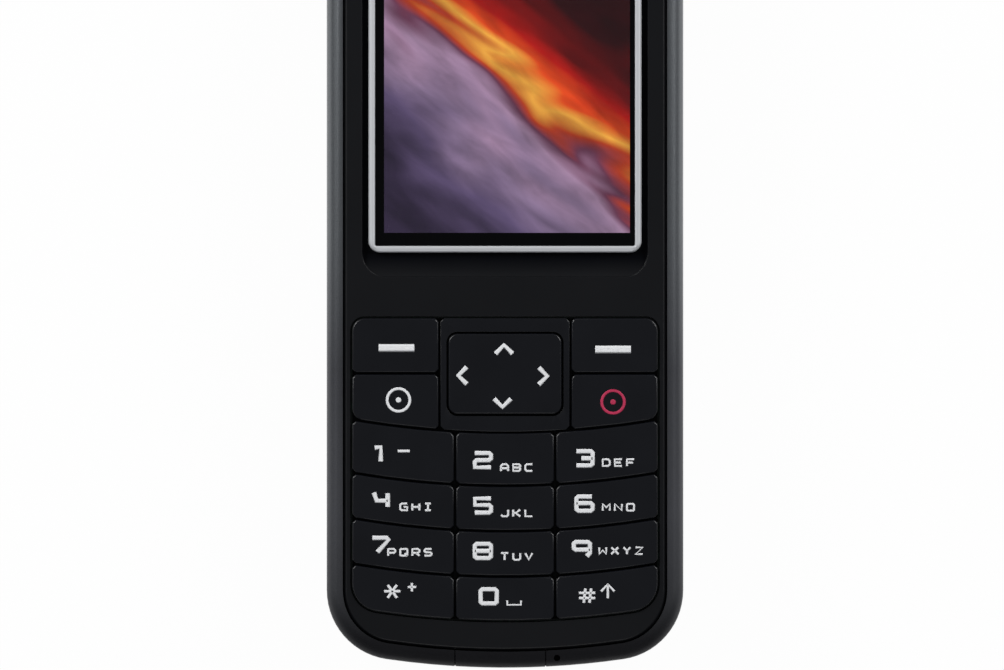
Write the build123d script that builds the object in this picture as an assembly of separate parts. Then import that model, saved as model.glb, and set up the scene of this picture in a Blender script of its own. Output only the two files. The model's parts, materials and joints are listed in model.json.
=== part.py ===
from build123d import *
import math
import os

# A plain candybar mobile phone, lying on its back.
# Millimetres. +X is right seen from the front, +Y runs towards the earpiece, +Z comes out of the screen.
# The origin is on the table, under the middle of the body.

# Body
BODY_WIDTH = 46.0
BODY_LENGTH = 109.0
CORNER_RADIUS = 9.0
END_RADIUS = 107.0
FRAME_TOP = 13.2
FRONT_ROUND = 2.1
BACK_ROUND = 4.0
ROLL_STEPS = 4
PARTING_HEIGHT = 5.2

# Grey band round the sides
BAND_WIDTH = 2.1
BAND_WALL = 1.5
LEDGE_WIDTH = 0.5
LEDGE_TOP = 10.6
LEDGE_BOTTOM = 9.0

# Front cover
SEAM = 0.1
COVER_THICKNESS = 1.3
COVER_EDGE_ROUND = 0.35
SKIRT_WALL = 0.5
POST_RADIUS = 1.05
PILOT_RADIUS = 0.75
PILOT_ROOF = 0.4

# Screen
SCREEN_TOP_MARGIN = 10.75
RING_SIDE_MARGIN = 5.4
RING_LENGTH = 44.7
RING_RIM = 0.85
RING_CORNER = 1.5
RING_HEIGHT = 0.85
RING_EDGE = 0.25
RECESS_DEPTH = 0.75
RECESS_MARGIN = 0.8
RECESS_RAMP = 3.1
RECESS_CORNER = 3.0
RECESS_STEP = 0.12
VIEW_SIDE_LAP = 1.1
VIEW_END_LAP = 1.55
WINDOW_THICKNESS = 0.6
WINDOW_PLAY = 0.05

# Keypad
PAD_SIDE_MARGIN = 3.1
PAD_SCREEN_GAP = 8.25
PAD_END_MARGIN = 5.9
PAD_TOP_CORNER = 1.8
PAD_BOTTOM_CORNER = 3.9
ROW_ARC = 115.0
KEY_GAP = 0.24
KEY_RIM_GAP = 0.22
KEY_PROUD = 0.4
KEY_TRAVEL = 0.25
KEY_UNDER_GAP = 0.05
KEY_EDGE = 0.15
KEY_CORNER = 0.45
FUNCTION_CORNER = 1.6
SHARP_ANGLE = 150.0
FUNCTION_SHARE = 0.38
SOFT_KEY_SHARE = 0.49
NUMBER_ROWS = 4
FIRST_ROW_EXTRA = 1.0
COLUMN_HALF = 6.45
CENTRE_BLOCK_HALF = 8.45

# Navigation key
NAV_LIFT = 0.1
NAV_WIDTH = 14.6
NAV_END_MARGIN = 2.3
NAV_CORNER = 1.2
NAV_GAP = 0.25
NAV_TILT = 1.5
NAV_BASE_INSET = 0.9
NAV_BASE_THICKNESS = 0.5
PIVOT_RADIUS = 0.3
PIVOT_PLAY = 0.04
TILE_PLAY = 0.03

# Rubber mat, dome sheet and board
MAT_TOP = 11.0
MAT_THICKNESS = 0.4
NUB_RADIUS = 1.0
NUB_HEIGHT = 0.3
DOME_SHEET_THICKNESS = 0.1
DOME_RADIUS = 1.8
DOME_TAPER = 70.0
DOME_SIDES = 6
DOME_HEIGHT = 0.18
BOARD_THICKNESS = 1.0
BOARD_INSET = 2.75
NOTCH_RADIUS = 0.9
PART_PLAY = 0.05
STUD_SIDES = 8

# Display module
LCD_SIDE_LAP = 0.8
LCD_TOP_LAP = 0.9
LCD_BOTTOM_LAP = 3.7
BACKLIGHT_THICKNESS = 0.9
GLASS_THICKNESS = 0.7
LCD_FRAME_WALL = 0.25
LCD_FRAME_LIP = 0.5
LCD_PLAY = 0.1
GASKET_WIDTH = 0.9
FLEX_WIDTH = 14.0
FLEX_THICKNESS = 0.15
FLEX_REACH = 2.6

# Earpiece
EARPIECE_MARGIN = 6.1
EARPIECE_SLOT = 9.0
EARPIECE_SLOT_WIDTH = 1.4
EARPIECE_SLOT_CORNER = 0.69
GRILLE_THICKNESS = 0.4
GRILLE_LAP = 0.6
GRILLE_SLOT_WIDTH = 0.45
GRILLE_SLOT_LENGTH = 1.0
GRILLE_SLOT_PITCH = 0.95
GRILLE_CORNER = 0.5
EARPIECE_LENGTH = 12.0
EARPIECE_WIDTH = 5.2
EARPIECE_CORNER = 1.6
EARPIECE_HEIGHT = 1.6

# Rear housing
HOUSING_WALL = 1.2
DECK_THICKNESS = 1.0
REAR_SKIN = 1.3
BAY_WALL = 0.7
BAY_FLOOR = 0.8
COLUMN_RADIUS = 1.75
COUNTERBORE_RADIUS = 1.45
COUNTERBORE_DEPTH = 3.0

# Battery and its cover
BATTERY_SIDE_MARGIN = 6.5
BATTERY_TOP_MARGIN = 47.0
BATTERY_BOTTOM_MARGIN = 10.0
BATTERY_THICKNESS = 4.7
BATTERY_EDGE = 0.4
BATTERY_PLAY = 0.25
COVER_WALL = 1.1
COVER_SLOPE = 1.7
COVER_RIM_HEIGHT = 3.4
COVER_PLAY = 0.08
COVER_SPLIT_MARGIN = 32.5
COVER_STROKE = 6.0
HOOK_LENGTH = 3.0
HOOK_REACH = 0.7
HOOK_HEIGHT = 0.55
HOOK_LEVEL = 2.45
HOOK_PLAY = 0.12
HOOK_BOTTOM_MARGIN = 20.5
HOOK_SPLIT_MARGIN = 26.0
GRIP_COUNT = 5
GRIP_FROM_SPLIT = 4.0
GRIP_PITCH = 1.5
GRIP_LENGTH = 14.0
GRIP_DEPTH = 0.3
GRIP_WIDTH = 0.7

# Fasteners
SCREW_RADIUS = 0.7
SCREW_HEAD_RADIUS = 1.3
SCREW_HEAD_HEIGHT = 0.8
SCREW_END_GAP = 0.2
SCREW_CLEARANCE = 0.12
TOP_POST_MARGINS = (7.5, 7.1)
MIDDLE_POST_MARGIN = 3.68
MIDDLE_POST_PAD_GAP = 2.5
BOTTOM_POST_MARGINS = (12.5, 4.5)

# Port at the bottom end
PORT_CENTRE_X = -0.6
PORT_COVER_WIDTH = 11.6
PORT_COVER_BOTTOM = 5.7
PORT_COVER_SKIN = 1.1
PORT_COVER_GAP = 0.1
PORT_COVER_LIP = 1.6
PORT_COVER_REACH = 5.0
HINGE_BARREL_RADIUS = 0.6
HINGE_BARREL_INSET = 0.08
HINGE_PIN_RADIUS = 0.35
HINGE_PIN_LENGTH = 0.7
HINGE_PIN_PLAY = 0.05
CONNECTOR_WIDTH = 8.4
CONNECTOR_DEPTH = 5.0
CONNECTOR_HEIGHT = 2.2
CONNECTOR_WALL = 0.35
CONNECTOR_SETBACK = 2.0
MIC_POST_GAP = 3.8
MIC_HOLE_RADIUS = 0.4
MIC_HOLE_INSET = 1.3
MIC_HOLE_DEPTH = 1.6
MIC_RADIUS = 1.3
MIC_HEIGHT = 1.3
MIC_SETBACK = 0.4

# Parts behind the upper back
CAMERA_X = 0.0
CAMERA_MARGIN = 18.0
CAMERA_SIZE = 7.0
CAMERA_WINDOW_RADIUS = 3.6
CAMERA_WINDOW_THICKNESS = 0.7
CAMERA_BEZEL = 0.15
CAMERA_OPENING_RADIUS = 2.9
CAMERA_LENS_RADIUS = 2.6
CAMERA_LENS_REACH = 0.3
SPEAKER_MARGINS = (10.5, 19.5)
SPEAKER_WIDTH = 10.0
SPEAKER_LENGTH = 14.0
SPEAKER_HEIGHT = 3.4
SPEAKER_CORNER = 2.0
SPEAKER_SLOTS = 5
SPEAKER_SLOT_PITCH = 1.6
SPEAKER_SLOT_WIDTH = 0.7
SPEAKER_SLOT_LENGTH = 6.0
MOTOR_MARGINS = (9.5, 20.5)
MOTOR_RADIUS = 2.0
MOTOR_LENGTH = 8.0
MOTOR_SHAFT_RADIUS = 0.4
MOTOR_SHAFT_PLAY = 0.04
WEIGHT_RADIUS = 1.8
WEIGHT_LENGTH = 3.0
WEIGHT_GAP = 0.4
SHAFT_END_GAP = 0.2
ANTENNA_SIDE_MARGIN = 10.0
ANTENNA_WIDTH = 4.6
ANTENNA_HEIGHT = 5.2
ANTENNA_MARGIN = 9.9
ANTENNA_FOIL = 0.2
ANTENNA_WALL = 1.0
FOIL_END_MARGIN = 1.0
FOIL_SIDE_MARGIN = 0.3
FOIL_CUTS = 5
FOIL_CUT_WIDTH = 1.0
FOIL_TRACE = 1.3

# Parts behind the board
SIM_WIDTH = 15.0
SIM_LENGTH = 25.0
SIM_THICKNESS = 0.76
SIM_CHAMFER = 3.0
SIM_HOLDER_WALL = 0.3
SIM_HOLDER_HEIGHT = 1.6
SIM_MARGIN = 20.5
SIM_WINDOW_MARGIN = 0.5
SIM_HOLDER_SIDE = 1.5
SHIELD_SIDE_MARGIN = 7.5
SHIELD_LENGTH = 15.0
SHIELD_HEIGHT = 1.6
SHIELD_WALL = 0.2
SHIELD_CONTACT_GAPS = (-13.5, 12.0)
CONTACT_WIDTH = 9.0
CONTACT_DEPTH = 2.6
CONTACT_PITCH = 2.4
CONTACT_PIN_SIZE = 0.9
CONTACT_PIN_REACH = 0.2
CONTACT_PAD_DEPTH = 0.1
CONTACT_BLOCK_REACH = 1.35

# Sizes and places worked out from the values above
HALF_WIDTH = BODY_WIDTH / 2
HALF_LENGTH = BODY_LENGTH / 2
RING_WIDTH = BODY_WIDTH - 2 * RING_SIDE_MARGIN
SCREEN_CENTRE_Y = HALF_LENGTH - SCREEN_TOP_MARGIN - RING_LENGTH / 2
VIEW_WIDTH = RING_WIDTH - 2 * VIEW_SIDE_LAP
VIEW_LENGTH = RING_LENGTH - 2 * VIEW_END_LAP
LCD_WIDTH = VIEW_WIDTH + 2 * LCD_SIDE_LAP
LCD_LENGTH = VIEW_LENGTH + LCD_TOP_LAP + LCD_BOTTOM_LAP
LCD_CENTRE_Y = SCREEN_CENTRE_Y + (LCD_TOP_LAP - LCD_BOTTOM_LAP) / 2
PAD_WIDTH = BODY_WIDTH - 2 * PAD_SIDE_MARGIN
PAD_TOP = SCREEN_CENTRE_Y - RING_LENGTH / 2 - PAD_SCREEN_GAP
PAD_BOTTOM = -HALF_LENGTH + PAD_END_MARGIN
FUNCTION_LENGTH = FUNCTION_SHARE * (PAD_TOP - PAD_BOTTOM)
CALL_ROW_TOP = PAD_TOP - SOFT_KEY_SHARE * FUNCTION_LENGTH
NUMBER_TOP = PAD_TOP - FUNCTION_LENGTH
NUMBER_PITCH = (NUMBER_TOP - FIRST_ROW_EXTRA - PAD_BOTTOM) / NUMBER_ROWS
NAV_LENGTH = FUNCTION_LENGTH - 2 * NAV_END_MARGIN
NAV_CENTRE_Y = PAD_TOP - FUNCTION_LENGTH / 2 + NAV_LIFT
EARPIECE_Y = HALF_LENGTH - EARPIECE_MARGIN
BATTERY_WIDTH = BODY_WIDTH - 2 * BATTERY_SIDE_MARGIN
BATTERY_LENGTH = BODY_LENGTH - BATTERY_TOP_MARGIN - BATTERY_BOTTOM_MARGIN
BATTERY_CENTRE_Y = (BATTERY_BOTTOM_MARGIN - BATTERY_TOP_MARGIN) / 2
BATTERY_TOP = BATTERY_CENTRE_Y + BATTERY_LENGTH / 2
COVER_SPLIT_Y = HALF_LENGTH - COVER_SPLIT_MARGIN
HOOK_CENTRES_Y = [HOOK_BOTTOM_MARGIN - HALF_LENGTH, COVER_SPLIT_Y - HOOK_SPLIT_MARGIN]
TOP_POST = (HALF_WIDTH - TOP_POST_MARGINS[0], HALF_LENGTH - TOP_POST_MARGINS[1])
MIDDLE_POST = (HALF_WIDTH - MIDDLE_POST_MARGIN, PAD_TOP + MIDDLE_POST_PAD_GAP)
BOTTOM_POST = (HALF_WIDTH - BOTTOM_POST_MARGINS[0], BOTTOM_POST_MARGINS[1] - HALF_LENGTH)
MIC_X = BOTTOM_POST[0] - MIC_POST_GAP
CAMERA_Y = HALF_LENGTH - CAMERA_MARGIN
SPEAKER_X = HALF_WIDTH - SPEAKER_MARGINS[0]
SPEAKER_Y = HALF_LENGTH - SPEAKER_MARGINS[1]
MOTOR_X = MOTOR_MARGINS[0] - HALF_WIDTH
MOTOR_Y = HALF_LENGTH - MOTOR_MARGINS[1]
ANTENNA_LENGTH = BODY_WIDTH - 2 * ANTENNA_SIDE_MARGIN
ANTENNA_Y = HALF_LENGTH - ANTENNA_MARGIN
SIM_Y = SIM_MARGIN - HALF_LENGTH
SHIELD_WIDTH = BODY_WIDTH - 2 * SHIELD_SIDE_MARGIN
SHIELD_CENTRES_Y = [BATTERY_TOP + gap for gap in SHIELD_CONTACT_GAPS]

# Heights worked out from the values above
COVER_BOTTOM = FRAME_TOP - COVER_THICKNESS
RECESS_FLOOR = FRAME_TOP - RECESS_DEPTH
KEY_TOP = FRAME_TOP + KEY_PROUD
KEY_BOTTOM = MAT_TOP + KEY_TRAVEL + KEY_UNDER_GAP
BEZEL_TOP = FRAME_TOP + KEY_PROUD / 2
MAT_BOTTOM = MAT_TOP - MAT_THICKNESS
BOARD_TOP = LEDGE_BOTTOM + BOARD_THICKNESS
BOARD_BOTTOM = LEDGE_BOTTOM
DECK_LEVEL = COVER_WALL + COVER_PLAY
BATTERY_LEVEL = DECK_LEVEL + PART_PLAY
BAY_FLOOR_BOTTOM = BATTERY_LEVEL + BATTERY_THICKNESS + PART_PLAY
BAY_TOP = BAY_FLOOR_BOTTOM + BAY_FLOOR
COVER_OUTLINE_INSET = BAND_WIDTH + SEAM
COLUMN_TOP = BOARD_BOTTOM - PART_PLAY
UP = (0, 0, 1)


def outline(inset):
    """Outline of the phone from the front, drawn in by inset: straight sides, round corners, bowed ends."""
    half_width = BODY_WIDTH / 2 - inset
    half_length = BODY_LENGTH / 2 - inset
    corner = CORNER_RADIUS - inset
    end = END_RADIUS - inset
    corner_x = half_width - corner
    end_centre = half_length - end
    corner_y = end_centre + math.sqrt((end - corner) ** 2 - corner_x ** 2)
    turn = math.asin(corner_x / (end - corner))
    meet = (end * math.sin(turn), end_centre + end * math.cos(turn))
    middle_turn = (turn + math.pi / 2) / 2
    bulge = (corner_x + corner * math.sin(middle_turn), corner_y + corner * math.cos(middle_turn))
    edges = []
    for side in (1, -1):
        edges.append(Line((side * half_width, -corner_y), (side * half_width, corner_y)))
    for end_side in (1, -1):
        for side in (1, -1):
            edges.append(ThreePointArc((side * half_width, end_side * corner_y),
                                       (side * bulge[0], end_side * bulge[1]),
                                       (side * meet[0], end_side * meet[1])))
        edges.append(ThreePointArc((meet[0], end_side * meet[1]), (0, end_side * half_length),
                                   (-meet[0], end_side * meet[1])))
    return make_face(edges)


def layer(face, low, high):
    """Straight solid on a flat face between two heights."""
    return Pos(0, 0, low) * extrude(face, amount=high - low, dir=UP)


def block(x_low, x_high, y_low, y_high, z_low, z_high):
    """Plain block between two corners."""
    return Pos((x_low + x_high) / 2, (y_low + y_high) / 2, (z_low + z_high) / 2) * Box(
        x_high - x_low, y_high - y_low, z_high - z_low)


def centred_block(x, y, width, length, low, high):
    """Plain block by its middle, its size and two heights."""
    return block(x - width / 2, x + width / 2, y - length / 2, y + length / 2, low, high)


def post(x, y, radius, low, high):
    """Upright cylinder."""
    return Pos(x, y, (low + high) / 2) * Cylinder(radius, high - low)


def stud(x, y, radius, low, high):
    """Upright eight-sided stud or hole, for small hidden features that repeat."""
    return layer(Pos(x, y) * RegularPolygon(radius, STUD_SIDES), low, high)


def rounded_plate(x, y, width, length, corner, low, high):
    """Plate with round corners, centred at x, y."""
    return layer(Pos(x, y) * RectangleRounded(width, length, corner), low, high)


def edges_at(solid, height):
    """All edges that lie flat at one height."""
    return [edge for edge in solid.edges()
            if abs(edge.bounding_box().min.Z - height) < 1e-4
            and abs(edge.bounding_box().max.Z - height) < 1e-4]


def rolled_edge(radius):
    """Upper edge of the body from height 0: a stack of slopes on the points of a quarter round."""
    slopes = []
    for step in range(ROLL_STEPS):
        start = math.pi / 2 * step / ROLL_STEPS
        end = math.pi / 2 * (step + 1) / ROLL_STEPS
        rise = radius * (math.sin(end) - math.sin(start))
        run = radius * (math.cos(start) - math.cos(end))
        foot = outline(radius * (1 - math.cos(start)))
        lean = math.degrees(math.atan2(run, rise))
        slopes.append(Pos(0, 0, radius * math.sin(start)) * extrude(foot, amount=rise, dir=UP, taper=lean))
    return slopes[0].fuse(*slopes[1:])


def outer_form():
    """The rolled outer form of the phone."""
    form = layer(outline(0), BACK_ROUND, FRAME_TOP - FRONT_ROUND)
    form += Pos(0, 0, FRAME_TOP - FRONT_ROUND) * rolled_edge(FRONT_ROUND)
    form += Pos(0, 0, BACK_ROUND) * Rot(180, 0, 0) * rolled_edge(BACK_ROUND)
    return form


def nested_form(inset):
    """Form of what lies inside the back shell, with a sloped edge in place of the round."""
    slope = COVER_SLOPE - (2 - math.sqrt(2)) * (inset - COVER_WALL)
    form = layer(outline(inset), inset, FRAME_TOP)
    return chamfer(edges_at(form, inset), slope)


def ring(outer_inset, inner_inset, low, high):
    """Wall that follows the outline."""
    return layer(outline(outer_inset), low, high) - layer(outline(inner_inset), low, high)


OUTER_FORM = outer_form()


def screw_places():
    """The six screw positions, mirrored left and right."""
    return [(side * x, y) for x, y in (TOP_POST, MIDDLE_POST, BOTTOM_POST) for side in (1, -1)]


# The port cover turns about a line across the bottom end
HINGE_Y = -BODY_LENGTH / 2 + HINGE_BARREL_RADIUS + HINGE_BARREL_INSET
HINGE_Z = PORT_COVER_BOTTOM + HINGE_BARREL_RADIUS
PORT_LEFT = PORT_CENTRE_X - PORT_COVER_WIDTH / 2
PORT_RIGHT = PORT_CENTRE_X + PORT_COVER_WIDTH / 2
END_LIMIT = -BODY_LENGTH / 2 - 1


def port_cover_space(grow):
    """Space of the port cover in the band, grown by a clearance on the sides that meet the frame."""
    skin = PORT_COVER_SKIN + grow
    left = PORT_LEFT - grow
    right = PORT_RIGHT + grow
    lip_bottom = FRAME_TOP - PORT_COVER_LIP - grow
    face = block(left, right, END_LIMIT, HINGE_Y + PORT_COVER_REACH, HINGE_Z, FRAME_TOP + grow) - layer(
        outline(skin), 0, lip_bottom)
    face -= layer(outline(BAND_WIDTH + grow), 0, FRAME_TOP + 1)
    barrel = Pos(PORT_CENTRE_X, HINGE_Y, HINGE_Z) * Rot(0, 90, 0) * Cylinder(
        HINGE_BARREL_RADIUS + grow, PORT_COVER_WIDTH + 2 * grow)
    return face + barrel


def hinge_pin(radius, reach):
    """Pin along the port cover's hinge line."""
    return Pos(PORT_CENTRE_X, HINGE_Y, HINGE_Z) * Rot(0, 90, 0) * Cylinder(
        radius, PORT_COVER_WIDTH + 2 * reach)


def port_cover():
    """Flap over the connector, with a moulded barrel and two stub pins."""
    flap = port_cover_space(0) & OUTER_FORM
    return flap + hinge_pin(HINGE_PIN_RADIUS, HINGE_PIN_LENGTH)


def connector_centre():
    """Centre of the connector's shell: across, along and up."""
    y = -BODY_LENGTH / 2 + CONNECTOR_SETBACK + CONNECTOR_DEPTH / 2
    return PORT_CENTRE_X, y, BOARD_BOTTOM - PART_PLAY - CONNECTOR_HEIGHT / 2


def side_frame():
    """Rolled metal-look band with the ledge that carries the front cover and the board."""
    frame = OUTER_FORM & block(-BODY_WIDTH, BODY_WIDTH, -BODY_LENGTH, BODY_LENGTH, PARTING_HEIGHT, FRAME_TOP)
    frame -= layer(outline(BAND_WALL), PARTING_HEIGHT, LEDGE_BOTTOM)
    frame -= layer(outline(BAND_WIDTH + LEDGE_WIDTH), LEDGE_BOTTOM, LEDGE_TOP)
    frame -= layer(outline(BAND_WIDTH), LEDGE_TOP, FRAME_TOP)
    frame -= port_cover_space(PORT_COVER_GAP)
    frame -= block(PORT_LEFT - PORT_COVER_GAP, PORT_RIGHT + PORT_COVER_GAP, END_LIMIT, HINGE_Y,
                   PORT_COVER_BOTTOM - PORT_COVER_GAP, HINGE_Z)
    frame -= hinge_pin(HINGE_PIN_RADIUS + HINGE_PIN_PLAY, HINGE_PIN_LENGTH + PORT_COVER_GAP)
    x, y, z = connector_centre()
    mouth_half = CONNECTOR_WIDTH / 2 + PORT_COVER_GAP
    frame -= block(x - mouth_half, x + mouth_half, END_LIMIT, y, z - CONNECTOR_HEIGHT / 2 - PORT_COVER_GAP,
                   LEDGE_BOTTOM)
    hole_y = -BODY_LENGTH / 2 + MIC_HOLE_INSET
    frame -= post(MIC_X, hole_y, MIC_HOLE_RADIUS, FRAME_TOP - MIC_HOLE_DEPTH, FRAME_TOP)
    return frame


def pad_region(inset):
    """Keypad opening in the front cover, drawn in by inset: square sides and a bowed lower edge."""
    half = PAD_WIDTH / 2 - inset
    top = PAD_TOP - inset
    bottom = PAD_BOTTOM + inset
    side_rise = half ** 2 / (2 * (ROW_ARC - inset))
    lower_edge = ThreePointArc((-half, bottom + side_rise), (0, bottom), (half, bottom + side_rise))
    sides = Polyline((half, bottom + side_rise), (half, top), (-half, top), (-half, bottom + side_rise))
    face = make_face([lower_edge] + sides.edges())
    upper = [corner for corner in face.vertices() if corner.Y > top - 0.1]
    face = fillet(upper, PAD_TOP_CORNER - inset)
    lower = [corner for corner in face.vertices() if corner.Y < bottom + side_rise + 0.1]
    return fillet(lower, PAD_BOTTOM_CORNER - inset)


def above_bow(y_at_middle):
    """Everything above the bowed line that crosses the middle at this Y."""
    return Pos(0, y_at_middle + ROW_ARC) * Circle(ROW_ARC)


def key_outline(left, right, top, bottom, bowed_top, bowed_bottom):
    """Key outline cut from the pad, with straight sides and straight or bowed upper and lower edges."""
    middle = (left + right) / 2
    strip_width = right - left - KEY_GAP
    strip_length = 2 * (PAD_TOP - PAD_BOTTOM)
    from_top = Rectangle(strip_width, strip_length, align=(Align.CENTER, Align.MAX))
    from_bottom = Rectangle(strip_width, strip_length, align=(Align.CENTER, Align.MIN))
    high = top - KEY_GAP / 2
    low = bottom + KEY_GAP / 2
    face = Pos(middle, PAD_TOP) * from_top - above_bow(high) if bowed_top else Pos(middle, high) * from_top
    face = face & (above_bow(low) if bowed_bottom else Pos(middle, low) * from_bottom)
    return face & pad_region(KEY_RIM_GAP)


def sharp_corners(face):
    """Corners of a flat outline where it really turns, and not where a round runs smoothly on."""
    found = []
    for corner in face.vertices():
        here = Vector(corner.X, corner.Y, corner.Z)
        ways = []
        for edge in face.edges():
            for end, sign in ((0, 1), (1, -1)):
                if (edge.position_at(end) - here).length < 1e-4:
                    ways.append(edge.tangent_at(end) * sign)
        if len(ways) == 2 and ways[0].get_angle(ways[1]) < SHARP_ANGLE:
            found.append(corner)
    return found


def key_cap(face):
    """Moulded key cap: cut corners and a sloped top edge."""
    cap = layer(chamfer(sharp_corners(face), KEY_CORNER), KEY_BOTTOM, KEY_TOP)
    return chamfer(edges_at(cap, KEY_TOP), KEY_EDGE)


def column_limits():
    """Left and right limits of the three columns of number keys."""
    half = PAD_WIDTH / 2 + KEY_GAP
    return [(-half, -COLUMN_HALF), (-COLUMN_HALF, COLUMN_HALF), (COLUMN_HALF, half)]


def number_faces():
    """Outlines of the twelve number keys, row by row from the top."""
    faces = []
    for row in range(NUMBER_ROWS):
        top = NUMBER_TOP
        if row > 0:
            top = NUMBER_TOP - FIRST_ROW_EXTRA - row * NUMBER_PITCH
        bottom = NUMBER_TOP - FIRST_ROW_EXTRA - (row + 1) * NUMBER_PITCH
        if row == NUMBER_ROWS - 1:
            bottom = PAD_BOTTOM - KEY_GAP
        for left, right in column_limits():
            faces.append(key_outline(left, right, top, bottom, True, True))
    return faces


def function_faces():
    """Outlines of the two soft keys and the two call keys."""
    half = PAD_WIDTH / 2 + KEY_GAP
    left = (-half, -CENTRE_BLOCK_HALF)
    right = (CENTRE_BLOCK_HALF, half)
    faces = {}
    for side, (low, high) in (("left", left), ("right", right)):
        faces["soft_key_" + side] = key_outline(low, high, PAD_TOP + KEY_GAP, CALL_ROW_TOP, False, False)
    for node, (low, high) in (("send_key", left), ("end_key", right)):
        face = key_outline(low, high, CALL_ROW_TOP, NUMBER_TOP, False, True)
        outer_corner = min(face.vertices(), key=lambda corner: (round(-abs(corner.X), 2), corner.Y))
        faces[node] = fillet(outer_corner, FUNCTION_CORNER)
    return faces


def nav_bezel():
    """Raised frame round the navigation key, standing on the mat."""
    face = key_outline(-CENTRE_BLOCK_HALF, CENTRE_BLOCK_HALF, PAD_TOP + KEY_GAP, NUMBER_TOP, False, True)
    bezel = layer(chamfer(sharp_corners(face), KEY_CORNER), MAT_TOP, BEZEL_TOP)
    bezel = chamfer(edges_at(bezel, BEZEL_TOP), KEY_EDGE / 2)
    hole = rounded_plate(0, NAV_CENTRE_Y, NAV_WIDTH + 2 * NAV_GAP, NAV_LENGTH + 2 * NAV_GAP,
                         NAV_CORNER + NAV_GAP, MAT_TOP, KEY_TOP)
    return bezel - hole


def tilt_dip(half_size):
    """How far an edge this far from its axis goes down when the navigation key tilts fully."""
    return half_size * math.sin(math.radians(NAV_TILT))


UP_DOWN_AXIS_Z = MAT_TOP + PIVOT_RADIUS + PIVOT_PLAY
NAV_BASE_BOTTOM = UP_DOWN_AXIS_Z + tilt_dip(NAV_LENGTH / 2 - NAV_BASE_INSET)
NAV_BASE_TOP = NAV_BASE_BOTTOM + NAV_BASE_THICKNESS
LEFT_RIGHT_AXIS_Z = NAV_BASE_TOP
TILE_BOTTOM = NAV_BASE_TOP + tilt_dip(NAV_WIDTH / 2 - NAV_BASE_INSET) + TILE_PLAY


def nav_rocker_base():
    """Stiff plate under the navigation key, with a pivot ridge below and one across it above."""
    width = NAV_WIDTH - 2 * NAV_BASE_INSET
    length = NAV_LENGTH - 2 * NAV_BASE_INSET
    plate = centred_block(0, NAV_CENTRE_Y, width, length, NAV_BASE_BOTTOM, NAV_BASE_TOP)
    lower = Pos(0, NAV_CENTRE_Y, UP_DOWN_AXIS_Z) * Rot(0, 90, 0) * Cylinder(PIVOT_RADIUS, width)
    lower_web = block(-width / 2, width / 2, NAV_CENTRE_Y - PIVOT_RADIUS, NAV_CENTRE_Y + PIVOT_RADIUS,
                      UP_DOWN_AXIS_Z, NAV_BASE_BOTTOM)
    upper = Pos(0, NAV_CENTRE_Y, LEFT_RIGHT_AXIS_Z) * Rot(90, 0, 0) * Cylinder(PIVOT_RADIUS, length)
    return plate + lower + lower_web + upper


def nav_key():
    """Four-way tile that rocks on the base, dished a little in the middle."""
    tile = rounded_plate(0, NAV_CENTRE_Y, NAV_WIDTH, NAV_LENGTH, NAV_CORNER, TILE_BOTTOM, KEY_TOP)
    tile = chamfer(edges_at(tile, KEY_TOP), KEY_EDGE)
    groove = Pos(0, NAV_CENTRE_Y, LEFT_RIGHT_AXIS_Z) * Rot(90, 0, 0) * Cylinder(
        PIVOT_RADIUS + PIVOT_PLAY, NAV_LENGTH)
    return tile - groove


def key_mat():
    """Silicone sheet with one nub under each key."""
    mat = layer(pad_region(KEY_RIM_GAP), MAT_BOTTOM, MAT_TOP)
    for x, y in switch_places():
        nub = Pos(x, y) * RegularPolygon(NUB_RADIUS, DOME_SIDES)
        mat += layer(nub, MAT_BOTTOM - NUB_HEIGHT, MAT_BOTTOM)
    return mat


def switch_places():
    """One switch under the middle of each key, and four round the navigation key."""
    places = []
    for face in number_faces() + list(function_faces().values()):
        middle = face.center(CenterOf.BOUNDING_BOX)
        places.append((middle.X, middle.Y))
    reach_x = NAV_WIDTH / 2 - NAV_BASE_INSET - NUB_RADIUS
    reach_y = NAV_LENGTH / 2 - NAV_BASE_INSET - NUB_RADIUS
    for x, y in ((reach_x, 0), (-reach_x, 0), (0, reach_y), (0, -reach_y)):
        places.append((x, NAV_CENTRE_Y + y))
    return places


def dome_sheet():
    """Thin sheet with a snap dome for each switch."""
    sheet = layer(pad_region(KEY_RIM_GAP), BOARD_TOP, BOARD_TOP + DOME_SHEET_THICKNESS)
    for x, y in switch_places():
        foot = Pos(x, y, BOARD_TOP + DOME_SHEET_THICKNESS) * RegularPolygon(DOME_RADIUS, DOME_SIDES)
        sheet += extrude(foot, amount=DOME_HEIGHT, dir=UP, taper=DOME_TAPER)
    return sheet


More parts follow.
